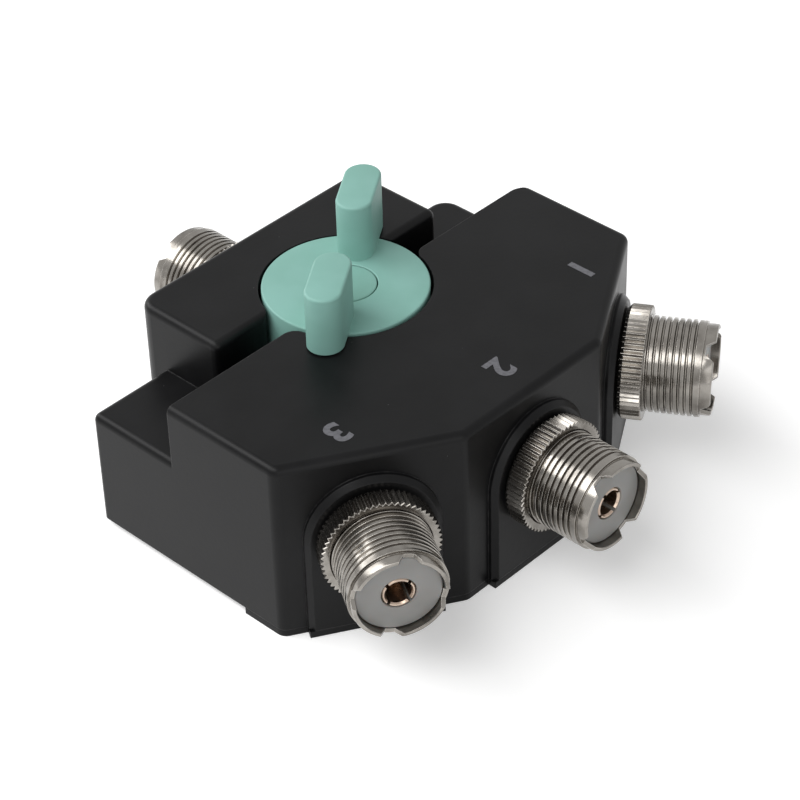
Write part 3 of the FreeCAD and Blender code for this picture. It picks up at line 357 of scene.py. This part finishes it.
PAINT = SatinPaint("black_paint")
PLATE_PAINT = SatinPaint("black_plate_paint", (12, 12, 13), (18, 18, 19), roughness=0.36)
# Each plated metal's last colour is lighter than its base: the painted highlight on its edges.
NICKEL = PlatedMetal("nickel_plate")
CONTACT = PlatedMetal("contact_bronze", (206, 186, 169), (128, 106, 90), 0.2, 0.1, (236, 224, 211))
BRASS = PlatedMetal("brass", (214, 182, 116), (160, 124, 66), 0.28, 0.15, (232, 210, 156))
BRONZE = PlatedMetal("spring_bronze", (206, 160, 104), (150, 104, 62), 0.3, 0.15, (226, 190, 140))
STEEL = PlatedMetal("steel", (176, 176, 174), (120, 119, 116), 0.3, 0.2, (208, 208, 206))
DARK_STEEL = PlatedMetal("blackened_steel", (74, 73, 72), (46, 45, 44), 0.36, 0.2, (120, 118, 114))
TEAL = MouldedPlastic("teal_knob_plastic")
TEAL_CAP = MouldedPlastic("teal_cap_plastic", (132, 179, 168), (126, 173, 161))
INSULATOR = MouldedPlastic("insulator_plastic", (146, 145, 143), (136, 135, 132), (170, 169, 166),
                           0.38, 0.12, 0.15)
NYLON = MouldedPlastic("nylon", (222, 219, 206), (208, 204, 190), (234, 232, 222), 0.4)
BOARD = Laminate("rotor_board")
INK = PrintedInk("grey_ink")


class Form:
    """A mesh in the making, in millimetres, about local axes."""

    def __init__(self) -> None:
        """Start empty."""
        self.mesh = bmesh.new()

    def line(self, points: Iterable[Sequence[float]], closed: bool = False) -> list[Any]:
        """Draw a line of edges.

        Args:
            points: Its corners.
            closed: True to join its ends.

        Returns:
            Its vertices and edges.
        """
        verts = [self.mesh.verts.new(point) for point in points]
        pairs = list(zip(verts, verts[1:])) + ([(verts[-1], verts[0])] if closed else [])
        return verts + [self.mesh.edges.new(pair) for pair in pairs]

    def turned(self, profile: Sequence[Point], axis: str = "X", steps: int = 96,
               climb: float = 0.0) -> Form:
        """Spin a profile of (along, radius) once round an axis.

        Args:
            profile: Its corners; a closed ring unless it climbs.
            axis: "X" or "Z", the axis that along is measured on.
            steps: The number of steps round.
            climb: How far it moves along the axis in the turn, for a thread.

        Returns:
            This form.
        """
        if axis == "X":
            points, about = [(along, 0, radius) for along, radius in profile], Vector((1, 0, 0))
        else:
            points, about = [(radius, 0, along) for along, radius in profile], Vector((0, 0, 1))
        made = self.line(points, closed=not climb)
        bmesh.ops.spin(self.mesh, geom=made, cent=(0, 0, 0), axis=about, dvec=about * climb / steps,
                       angle=math.tau, steps=steps, use_merge=not climb, use_duplicate=False)
        bmesh.ops.remove_doubles(self.mesh, verts=self.mesh.verts, dist=1e-4)
        return self

    def box(self, low: Sequence[float], high: Sequence[float], turn: Matrix | None = None) -> Form:
        """Add a box between two corners, turned if asked."""
        middle = (Vector(low) + Vector(high)) / 2
        size = Vector(high) - Vector(low)
        spot = Matrix.Translation(middle) @ Matrix.Diagonal((*size, 1))
        bmesh.ops.create_cube(self.mesh, size=1, matrix=(turn or Matrix()) @ spot)
        return self

    def outward(self) -> Form:
        """Point every face outwards."""
        bmesh.ops.recalc_face_normals(self.mesh, faces=self.mesh.faces)
        return self

    def piece(self, name: str, place: Matrix | None = None, sharp: float = 32.0
              ) -> bpy.types.Object:
        """Finish the mesh as an object at the origin, with its place in its mesh.

        Args:
            name: The object's name.
            place: Where it stands, in millimetres.
            sharp: The angle in degrees past which an edge is shown sharp.

        Returns:
            The object.
        """
        spot = Matrix.Scale(MM, 4) @ (place or Matrix())
        bmesh.ops.transform(self.mesh, matrix=spot, verts=self.mesh.verts)
        for face in self.mesh.faces:
            face.smooth = True
        for edge in self.mesh.edges:
            edge.smooth = len(edge.link_faces) == 2 and edge.calc_face_angle() < math.radians(sharp)
        data = bpy.data.meshes.new(name)
        self.mesh.to_mesh(data)
        self.mesh.free()
        item = bpy.data.objects.new(name, data)
        bpy.context.scene.collection.objects.link(item)
        return item


def carved(target: Form, tool: Form) -> Form:
    """Cut one form out of another.

    Args:
        target: The form that is cut.
        tool: The form that is taken away.

    Returns:
        What is left, as a new form.
    """
    items = []
    for form in (target, tool):
        data = bpy.data.meshes.new("carving")
        form.outward().mesh.to_mesh(data)
        form.mesh.free()
        items.append(bpy.data.objects.new("carving", data))
        bpy.context.scene.collection.objects.link(items[-1])
    cut = items[0].modifiers.new("cut", "BOOLEAN")
    cut.operation, cut.object, cut.solver = "DIFFERENCE", items[1], "EXACT"
    shape = items[0].evaluated_get(bpy.context.evaluated_depsgraph_get()).to_mesh()
    left = Form()
    left.mesh.from_mesh(shape)
    items[0].evaluated_get(bpy.context.evaluated_depsgraph_get()).to_mesh_clear()
    for item in items:
        bpy.data.objects.remove(item, do_unlink=True)
    return left


def finish(piece: bpy.types.Object, material: bpy.types.Material, body: Body, slot: str,
           *nodes: str) -> None:
    """Give a new piece its material and body, and hide the nodes that it stands for.

    Args:
        piece: The object.
        material: Its material.
        body: The body that it rides on.
        slot: Not used.
        nodes: The nodes that it stands for.
    """
    piece.data.materials.clear()
    piece.data.materials.append(material)
    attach(piece, body.value)
    if nodes:
        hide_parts(*nodes)
    LOG.info("%s: %d faces", piece.name, len(piece.data.polygons))


@dataclass
class Socket:
    """One coaxial socket: plated shell, knurled nut, insulator and slotted contact."""

    name: str
    x: float
    y: float
    turn: float
    notch_turn: float = 0.0
    slot_turn: float = 45.0
    height: float = 18.45
    thread_radius: float = 7.9375
    pitch: float = 1.0583
    groove_mouth: float = 0.54
    groove_floor: float = 0.16
    groove_depth: float = 0.48
    thread_start: float = 5.65
    thread_hidden: float = 0.6
    last_groove: float = 13.4
    fade_gap: float = 0.2
    fade_length: float = 0.8
    thread_end: float = 14.9
    end_scale: float = 0.92
    flange_back: float = -5.0
    flange_front: float = -2.5
    flange_radius: float = 9.0
    lip_front: float = -4.0
    lip_radius: float = 5.5
    length: float = 16.8
    band_radius: float = 7.55
    bore: float = 6.85
    notch_depth: float = 1.5
    notch_half: float = 1.6
    notch_floor: float = 0.8
    nut_radius: float = 9.5
    nut_root: float = 9.04
    nut_start: float = 1.5
    nut_length: float = 4.15
    nut_bevel: float = 0.9
    nut_bore: float = 8.0
    nut_sink: float = 0.15
    nut_chamfer: float = 0.3
    nut_teeth: int = 60
    tooth_narrowing: float = 0.4
    ease: float = 0.12
    plug_back: float = -5.6
    plug_neck_radius: float = 4.0
    plug_shoulder: float = -3.95
    plug_radius: float = 6.8
    contact_radius: float = 2.7
    contact_bore: float = 2.05
    contact_front: float = 15.25
    contact_back: float = 2.0
    tail_end: float = -8.4
    tail_radius: float = 1.0
    fit: float = 0.05
    slit_depth: float = 7.0
    slit_half: float = 0.3

    @property
    def place(self) -> Matrix:
        """Where the socket stands; its own +X points outwards."""
        spot = Matrix.Translation((self.x, self.y, self.height))
        return spot @ Matrix.Rotation(math.radians(self.turn), 4, "Z")

    def build(self, materials: dict[str, bpy.types.Material]) -> None:
        """Make and dress the socket's pieces.

        Args:
            materials: The finishes by name.
        """
        finish(self.shell(), materials["nickel"], Body.BOX, "nickel", self.name + "_shell")
        finish(self.nut(), materials["nickel"], Body.BOX, "nickel", self.name + "_nut")
        finish(self.insulator(), materials["insulator"], Body.BOX, "insulator_white",
               self.name + "_insulator")
        finish(self.contact(), materials["contact"], Body.BOX, "contact_copper",
               self.name + "_contact")

    def shell(self) -> bpy.types.Object:
        """The shell: flange inside the box, threaded neck, smooth end with four notches."""
        core, band = self.thread_radius - self.groove_depth - 0.1, self.band_radius
        step, end, ease = self.thread_end - self.fit, self.length, self.ease
        tube = Form().turned([
            (self.lip_front, self.lip_radius), (self.flange_back, self.lip_radius),
            (self.flange_back, self.flange_radius), (self.flange_front, self.flange_radius),
            (self.flange_front, core), (step, core), (step, band - ease),
            (self.thread_end + 0.1, band), (end - 0.32, band), (end - 0.1, band - ease),
            (end, band - 0.3), (end, self.bore + ease), (end - ease, self.bore),
            (self.lip_front, self.bore),
        ], steps=128)
        tool = Form()
        for quarter in range(4):
            self._notch(tool, math.radians(self.notch_turn + 90 * quarter))
        form = carved(tube, tool)
        form.mesh.from_mesh(self._thread())
        return form.piece(self.name + "_plated_shell", self.place)

    def _notch(self, tool: Form, turn: float) -> None:
        """Add a wedge that cuts one notch in the rim, narrower at its floor.

        Args:
            tool: The form that is taken away from the shell.
            turn: The notch's turn about the socket's axis, in radians.
        """
        verts = bmesh.ops.create_cube(tool.mesh, size=1)["verts"]
        for vert in verts:
            mouth = vert.co.x > 0
            half = self.notch_half + 1 if mouth else self.notch_floor
            along = self.length + 1 if mouth else self.length - self.notch_depth
            radius = self.thread_radius + 1 if vert.co.y > 0 else self.bore - 1
            vert.co = Vector((along, radius, math.copysign(half, vert.co.z)))
        bmesh.ops.transform(tool.mesh, matrix=Matrix.Rotation(turn, 4, "X"), verts=verts)

    def _thread(self) -> bpy.types.Mesh:
        """The screw thread: a narrow groove spun as it climbs, which fades out before its end."""
        turns = int((self.last_groove - self.thread_start) / self.pitch) + 3
        crest, floor = self.thread_radius, self.thread_radius - self.groove_depth
        mouth_half, floor_half = self.groove_mouth / 2, self.groove_floor / 2
        profile = [(self.last_groove - self.pitch * turns, crest)]
        for n in range(turns - 1, -2, -1):
            middle = self.last_groove - self.pitch * n
            profile += [(middle - mouth_half, crest), (middle - floor_half, floor),
                        (middle + floor_half, floor), (middle + mouth_half, crest)]
        profile.append((self.last_groove + self.pitch * 2, crest))
        form = Form().turned(profile, steps=128, climb=self.pitch)
        for vert in form.mesh.verts:
            reach = vert.co.yz.length
            past = (vert.co.x - self.last_groove - self.fade_gap) / self.fade_length
            faded = min(max(past, 0.0), 1.0)
            vert.co.yz *= (reach + (crest - reach) * faded) / reach
        ends = ((self.thread_start - self.thread_hidden, -1), (self.thread_end, 1))
        for spot, side in ends:
            cut = bmesh.ops.bisect_plane(
                form.mesh, geom=[*form.mesh.verts, *form.mesh.edges, *form.mesh.faces],
                plane_co=(spot, 0, 0), plane_no=(side, 0, 0), clear_outer=True)
            rim = [e for e in cut["geom_cut"] if isinstance(e, bmesh.types.BMEdge)]
            skirt = bmesh.ops.extrude_edge_only(form.mesh, edges=rim)["geom"]
            moved = [v for v in skirt if isinstance(v, bmesh.types.BMVert)]
            bmesh.ops.scale(form.mesh, vec=(1, self.end_scale, self.end_scale), verts=moved)
        data = bpy.data.meshes.new("thread")
        form.outward().mesh.to_mesh(data)
        form.mesh.free()
        return data

    def nut(self) -> bpy.types.Object:
        """The round nut: triangular teeth that a bevel behind cuts off, and a countersunk bore."""
        form = Form()
        start, end = self.nut_start, self.nut_start + self.nut_length
        spot = Matrix.Translation((start + self.nut_bevel, 0, 0))
        bmesh.ops.create_circle(form.mesh, segments=self.nut_teeth * 4, radius=self.nut_radius,
                                matrix=spot @ Matrix.Rotation(math.radians(90), 4, "Y"))
        form.mesh.verts.ensure_lookup_table()
        self._shape_teeth(list(form.mesh.verts))
        first = loop = list(form.mesh.edges)
        ease, bore, sink = self.ease, self.nut_bore, self.nut_bore + self.nut_sink
        seat = self.nut_radius - self.nut_bevel
        for along, radius in [(end - ease, None), (end, -ease), (end, self.nut_root - 2 * ease),
                              (end, sink), (end - self.nut_sink, bore),
                              (start + self.nut_chamfer, bore), (start, bore + self.nut_chamfer),
                              (start, seat), (start + self.nut_root - seat, self.nut_root)]:
            made = bmesh.ops.extrude_edge_only(form.mesh, edges=loop)["geom"]
            loop = [e for e in made if isinstance(e, bmesh.types.BMEdge)]
            for vert in (v for v in made if isinstance(v, bmesh.types.BMVert)):
                vert.co.x = along
                if radius:
                    reach = radius if radius > 0 else vert.co.yz.length + radius
                    vert.co.yz = vert.co.yz.normalized() * reach
        bmesh.ops.bridge_loops(form.mesh, edges=loop + first)
        return form.outward().piece(self.name + "_knurled_nut", self.place, sharp=24)

    def _shape_teeth(self, verts: list[bmesh.types.BMVert]) -> None:
        """Draw a circle's points, four a tooth, into narrow tips and narrow roots."""
        for n in range(0, len(verts), 2):
            pair = verts[n:n + 2]
            middle = (pair[0].co + pair[1].co) / 2
            for vert in pair:
                vert.co = middle.lerp(vert.co, self.tooth_narrowing)
                if n % 4:
                    vert.co.yz *= self.nut_root / self.nut_radius

    def insulator(self) -> bpy.types.Object:
        """The insulator: a plug that fills the shell, with an eased rim round the contact."""
        front, bore = self.contact_front + self.fit, self.contact_radius + self.fit
        tail_bore, rim = self.tail_radius + self.fit, 0.2
        form = Form().turned([
            (self.plug_back, tail_bore), (self.plug_back, self.plug_neck_radius),
            (self.plug_shoulder, self.plug_neck_radius), (self.plug_shoulder, self.plug_radius),
            (front - rim, self.plug_radius), (front, self.plug_radius - rim),
            (front, bore + self.ease), (front - self.ease, bore), (self.contact_back, bore),
            (self.contact_back, tail_bore),
        ])
        return form.outward().piece(self.name + "_insulating_plug", self.place)

    def contact(self) -> bpy.types.Object:
        """The centre contact: a split tube whose fingers close in slightly at the mouth."""
        front, radius, bore = self.contact_front, self.contact_radius, self.contact_bore
        back = self.contact_back + self.fit
        tube = Form().turned([
            (self.tail_end, NEAR_ZERO), (self.tail_end, self.tail_radius), (back, self.tail_radius),
            (back, radius), (front - 5.0, radius), (front - 1.2, radius - 0.03),
            (front - 0.25, radius - 0.02), (front, radius - 0.25), (front, bore + 0.22),
            (front - 0.3, bore), (front - 10.8, bore), (front - 11.4, NEAR_ZERO),
        ], steps=64)
        tool = Form()
        for quarter in range(4):
            tilt = Matrix.Rotation(math.radians(self.slot_turn + 90 * quarter), 4, "X")
            low = (front - self.slit_depth, 1, -self.slit_half)
            tool.box(low, (front + 1, 4, self.slit_half), tilt)
        return carved(tube, tool).outward().piece(self.name + "_slotted_contact", self.place)


@dataclass
class Knob:
    """The teal knob: a drum in the recess with two upright posts, and a cap in its middle."""

    pointer: float = 213.302
    radius: float = 13.7
    bottom: float = 22.9
    top: float = 33.6
    well_radius: float = 5.25
    well_depth: float = 1.55
    hub_radius: float = 5.5
    hub_bottom: float = 22.55
    hub_bore: float = 3.05
    screw_seat: float = 28.3
    top_wall: float = 2.6
    rim_wall: float = 2.0
    edge: float = 0.3
    post_centre: float = 12.8
    post_half_length: float = 6.75
    post_half_width: float = 3.04
    post_height: float = 10.4
    post_round: float = 0.45
    cap_radius: float = 5.02

    @property
    def place(self) -> Matrix:
        """The knob's turn at rest; its own +X is the line through the posts."""
        return Matrix.Rotation(math.radians(self.pointer), 4, "Z")

    def build(self, materials: dict[str, bpy.types.Material]) -> None:
        """Make and dress the knob and its cap."""
        finish(self.knob(), materials["teal"], Body.KNOB, "teal_plastic", "knob")
        finish(self.cap(), materials["teal_cap"], Body.KNOB, "teal_plastic", "knob_cap")

    def knob(self) -> bpy.types.Object:
        """The drum with its hub and the two posts."""
        top, low, edge = self.top, self.bottom, self.edge
        rim = [(top - edge * (1 - math.sin(a)), self.radius - edge * (1 - math.cos(a)))
               for a in (math.radians(t) for t in (0, 22.5, 45, 67.5, 90))]
        well, ease, inside = top - self.well_depth, 0.08, self.radius - self.rim_wall
        form = Form().turned([
            (low, inside), (low, self.radius), *rim, (top, self.well_radius + ease),
            (top - ease, self.well_radius), (well, self.well_radius), (well, self.hub_bore),
            (self.screw_seat, self.hub_bore), (self.hub_bottom, self.hub_bore),
            (self.hub_bottom, self.hub_radius), (top - self.top_wall, self.hub_radius),
            (top - self.top_wall, inside),
        ], axis="Z", steps=144)
        for side in (-1, 1):
            self._post(form, side)
        return form.outward().piece("knob_with_posts", self.place)

    def _post(self, form: Form, side: int) -> None:
        """Add one post: an oblong column with an eased top edge."""
        circle = bmesh.ops.create_circle(form.mesh, cap_ends=True, segments=64,
                                         radius=self.post_half_width)["verts"]
        half = self.post_half_length - self.post_half_width
        for end in (-1, 1):
            verts = [v for v in circle if (v.co.x > 1e-5) == (end > 0)]
            bmesh.ops.translate(form.mesh, vec=(end * half, 0, 0), verts=verts)
        foot = [f for f in form.mesh.faces if all(v in circle for v in f.verts)]
        made = bmesh.ops.extrude_face_region(form.mesh, geom=foot, use_keep_orig=True)["geom"]
        roof = [v for v in made if isinstance(v, bmesh.types.BMVert)]
        bmesh.ops.translate(form.mesh, vec=(0, 0, self.post_height), verts=roof)
        edges = {e for v in roof for e in v.link_edges if all(w in roof for w in e.verts)}
        post = set(circle) | set(roof)
        bevelled = bmesh.ops.bevel(form.mesh, geom=list(edges), offset=self.post_round, segments=4,
                                   affect="EDGES", profile=0.5, material=-1)
        post |= set(bevelled["verts"])
        spot = Matrix.Translation((side * self.post_centre, 0, self.top))
        bmesh.ops.transform(form.mesh, matrix=spot, verts=[v for v in post if v.is_valid])

    def cap(self) -> bpy.types.Object:
        """The round cap over the knob's screw."""
        top, radius = self.top, self.cap_radius
        form = Form().turned([
            (top - 1.5, NEAR_ZERO), (top - 1.5, radius), (top - 0.12, radius),
            (top - 0.03, radius - 0.09), (top, radius - 0.2), (top, NEAR_ZERO),
        ], axis="Z", steps=96)
        return form.outward().piece("knob_screw_cap", self.place)


@dataclass
class Numerals:
    """Plain grey numbers beside the three front sockets, read from the rear."""

    height: float = 5.0
    top: float = 33.3
    lift: float = 0.012
    thickness: float = 0.004
    boldness: float = 0.03
    widening: float = 1.05
    spots: dict[str, Point] = field(default_factory=lambda: {
        "1": (28.3, -25.7), "2": (0.0, -33.4), "3": (-28.3, -25.7)})

    def build(self, material: bpy.types.Material) -> None:
        """Print every number."""
        for mark, (x, y) in self.spots.items():
            finish(self.number(mark, x, y), material, Body.BOX, "black_paint")

    def number(self, mark: str, x: float, y: float) -> bpy.types.Object:
        """One number as a thin skin of ink on the box.

        Args:
            mark: The digit.
            x: Its middle along the channel.
            y: Its middle across.

        Returns:
            The piece.
        """
        curve = bpy.data.curves.new("number", "FONT")
        curve.body, curve.align_x, curve.align_y = mark, "CENTER", "CENTER"
        curve.extrude, curve.offset = self.thickness, self.boldness
        drawn = bpy.data.objects.new("number", curve)
        bpy.context.scene.collection.objects.link(drawn)
        form = Form()
        shape = drawn.evaluated_get(bpy.context.evaluated_depsgraph_get()).to_mesh()
        form.mesh.from_mesh(shape)
        drawn.evaluated_get(bpy.context.evaluated_depsgraph_get()).to_mesh_clear()
        bpy.data.objects.remove(drawn, do_unlink=True)
        ys = [v.co.y for v in form.mesh.verts]
        scale = self.height / (max(ys) - min(ys))
        middle = Matrix.Translation((0, -(max(ys) + min(ys)) / 2, 0))
        flat = Matrix.Diagonal((scale * self.widening, scale, scale, 1))
        spot = Matrix.Translation((x, y, self.top + self.lift)) @ Matrix.Rotation(math.pi, 4, "Z")
        return form.piece("printed_number_" + mark, spot @ flat @ middle)


@dataclass
class CarriedOver:
    """The nodes whose own shape stays, each with a finish."""

    finishes: dict[str, str] = field(default_factory=lambda: {
        "housing": "paint", "bottom_plate": "plate", "bottom_plate_screws": "dark_steel",
        "knob_screw": "steel", "shaft": "brass", "shaft_bush": "brass", "thrust_washer": "steel",
        "shaft_clip": "steel", "rotor_clip": "steel", "detent_wheel": "nylon",
        "detent_spring": "steel", "detent_spring_screw": "steel", "stop_pin": "steel",
        "rotor": "board", "rotor_blade": "brass", "blade_rivets": "brass",
        "grounding_ring": "brass", "ring_rivets": "brass", "grounding_spring": "bronze",
        "grounding_spring_screw": "steel", "common_contact_spring": "bronze",
        "port_1_contact_spring": "bronze", "port_2_contact_spring": "bronze",
        "port_3_contact_spring": "bronze"})

    def dress(self, nodes: dict[str, bpy.types.Object],
              materials: dict[str, bpy.types.Material]) -> None:
        """Give each node its finish.

        Args:
            nodes: The frame's nodes.
            materials: The finishes by name.
        """
        for name, finish in self.finishes.items():
            data = nodes[name].data
            data.materials.clear()
            data.materials.append(materials[finish])
            LOG.info("%s: kept, %s", name, finish)


def shown_rays(tree: bpy.types.NodeTree) -> bpy.types.NodeSocket:
    """1 for camera, glossy and transmission rays, 0 for the rays that light a surface."""
    path = tree.nodes.new("ShaderNodeLightPath")
    shown = path.outputs["Is Camera Ray"]
    for kind in ("Is Glossy Ray", "Is Transmission Ray"):
        either = tree.nodes.new("ShaderNodeMath")
        either.operation = "MAXIMUM"
        tree.links.new(shown, either.inputs[0])
        tree.links.new(path.outputs[kind], either.inputs[1])
        shown = either.outputs[0]
    return shown


@dataclass
class Studio:
    """The camera at the photograph's angle, a pale floor, plain light."""

    azimuth: float = -45.597
    elevation: float = 37.946
    distance: float = 446.737
    roll: float = -1.742
    focal_pixels: float = 2748.459
    picture_pixels: int = 800
    sensor: float = 36.0
    target: Sequence[float] = (-0.53, -11.947, 16.2)
    floor_half: float = 4000
    floor_drop: float = 0.05
    floor_glow: float = 0.34
    world_light: float = 0.4

    def build(self) -> None:
        """Set the camera, the floor and the lights."""
        self.camera()
        self.floor()
        self.lights()
        bpy.context.scene.view_settings.view_transform = "Standard"

    def camera(self) -> None:
        """The camera that was fitted to the photograph."""
        az, el, roll = (math.radians(a) for a in (self.azimuth, self.elevation, self.roll))
        back = Vector((math.sin(az) * math.cos(el), -math.cos(az) * math.cos(el), math.sin(el)))
        flat = Vector((0, 0, 1)).cross(back).normalized()
        up = back.cross(flat)
        right = math.cos(roll) * flat + math.sin(roll) * up
        above = math.cos(roll) * up - math.sin(roll) * flat
        data = bpy.data.cameras.new("camera")
        data.sensor_width = self.sensor
        data.lens = self.focal_pixels * self.sensor / self.picture_pixels
        data.clip_start, data.clip_end = 0.01, 20.0
        item = bpy.data.objects.new("camera", data)
        bpy.context.scene.collection.objects.link(item)
        turn = Matrix((right, above, back)).transposed().to_4x4()
        spot = (Vector(self.target) + back * self.distance) * MM
        item.matrix_world = Matrix.Translation(spot) @ turn
        bpy.context.scene.camera = item

    def floor(self) -> None:
        """A wide pale floor that shows white and keeps the object's shadow."""
        form = Form()
        bmesh.ops.create_grid(form.mesh, x_segments=1, y_segments=1, size=self.floor_half)
        item = form.piece("studio_floor", Matrix.Translation((0, 0, -self.floor_drop)))
        s = Shader("pale_floor")
        cloud = s.noise(60.0, 2.0).between(0.3, 0.7)
        shown = Signal(s, shown_rays(s.tree))
        s.set(Base_Color=s.colours(cloud, (246, 246, 246), (243, 243, 243)), Roughness=0.75,
              Specular_IOR_Level=0.2, Emission_Color=s.colours(shown, (0, 0, 0), (255, 255, 255)),
              Emission_Strength=self.floor_glow)
        item.data.materials.append(s.material)

    def lights(self) -> None:
        """A world that shows white and lights less, a long window lamp and a faint fill."""
        world = bpy.data.worlds.new("world")
        bpy.context.scene.world = world
        world.use_nodes = True
        tree = world.node_tree
        tree.nodes.clear()
        level = tree.nodes.new("ShaderNodeMapRange")
        level.inputs["To Min"].default_value = self.world_light
        level.inputs["To Max"].default_value = 1.0
        tree.links.new(shown_rays(tree), level.inputs["Value"])
        back = tree.nodes.new("ShaderNodeBackground")
        tree.links.new(level.outputs[0], back.inputs["Strength"])
        out = tree.nodes.new("ShaderNodeOutputWorld")
        tree.links.new(back.outputs[0], out.inputs["Surface"])
        self.lamp("long_window", spot=(-0.34, 0.36, 0.63), size=(1.9, 0.44), power=9.6,
                  along=(0.42, 1.1, -0.42))
        self.lamp("front_fill", spot=(-0.35, -0.75, 0.35), size=(0.6, 0.6), power=1.2)

    def lamp(self, name: str, spot: Sequence[float], size: Point, power: float,
             along: Sequence[float] = (1, 0, 0)) -> None:
        """Hang a soft lamp that faces the object.

        Args:
            name: The lamp's name.
            spot: Its place in metres.
            size: Its length and width in metres.
            power: Its power in watts.
            along: The direction that its length runs in.
        """
        data = bpy.data.lights.new(name, "AREA")
        data.shape, data.energy = "RECTANGLE", power
        data.size, data.size_y = size
        back = Vector(spot).normalized()
        across = back.cross(Vector(along)).normalized()
        turn = Matrix((across.cross(back), across, back)).transposed().to_4x4()
        item = bpy.data.objects.new(name, data)
        item.matrix_world = Matrix.Translation(spot) @ turn
        bpy.context.scene.collection.objects.link(item)


def make_materials() -> dict[str, bpy.types.Material]:
    """Build every finish once.

    Returns:
        The materials by their short names.
    """
    finishes = {"paint": PAINT, "plate": PLATE_PAINT, "nickel": NICKEL, "contact": CONTACT,
                "brass": BRASS, "bronze": BRONZE, "steel": STEEL, "dark_steel": DARK_STEEL,
                "teal": TEAL, "teal_cap": TEAL_CAP, "insulator": INSULATOR, "nylon": NYLON,
                "board": BOARD, "ink": INK}
    return {name: finish.make() for name, finish in finishes.items()}


def sockets() -> list[Socket]:
    """The four sockets in their places on the box."""
    end_half, front_half, shoulder, front, rear = 41.3, 15.75, 24.9, 40.5, 22.5
    slant = math.degrees(math.atan2(front - shoulder, end_half - front_half))
    x, y = (end_half + front_half) / 2, (shoulder + front) / 2
    return [
        Socket("common", 0, rear, 90, notch_turn=51, slot_turn=20),
        Socket("port_1", x, -y, slant - 90, notch_turn=29, slot_turn=70),
        Socket("port_2", 0, -front, -90, notch_turn=27, slot_turn=30),
        Socket("port_3", -x, -y, -90 - slant, notch_turn=-13, slot_turn=45),
    ]


def main() -> None:
    """Build the whole scene."""
    logging.basicConfig(level=logging.INFO, format="%(name)s %(message)s")
    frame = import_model()
    materials = make_materials()
    CarriedOver().dress(frame["nodes"], materials)
    for socket in sockets():
        socket.build(materials)
    Knob().build(materials)
    Numerals().build(materials["ink"])
    Studio().build()


if __name__ == "__main__":
    main()
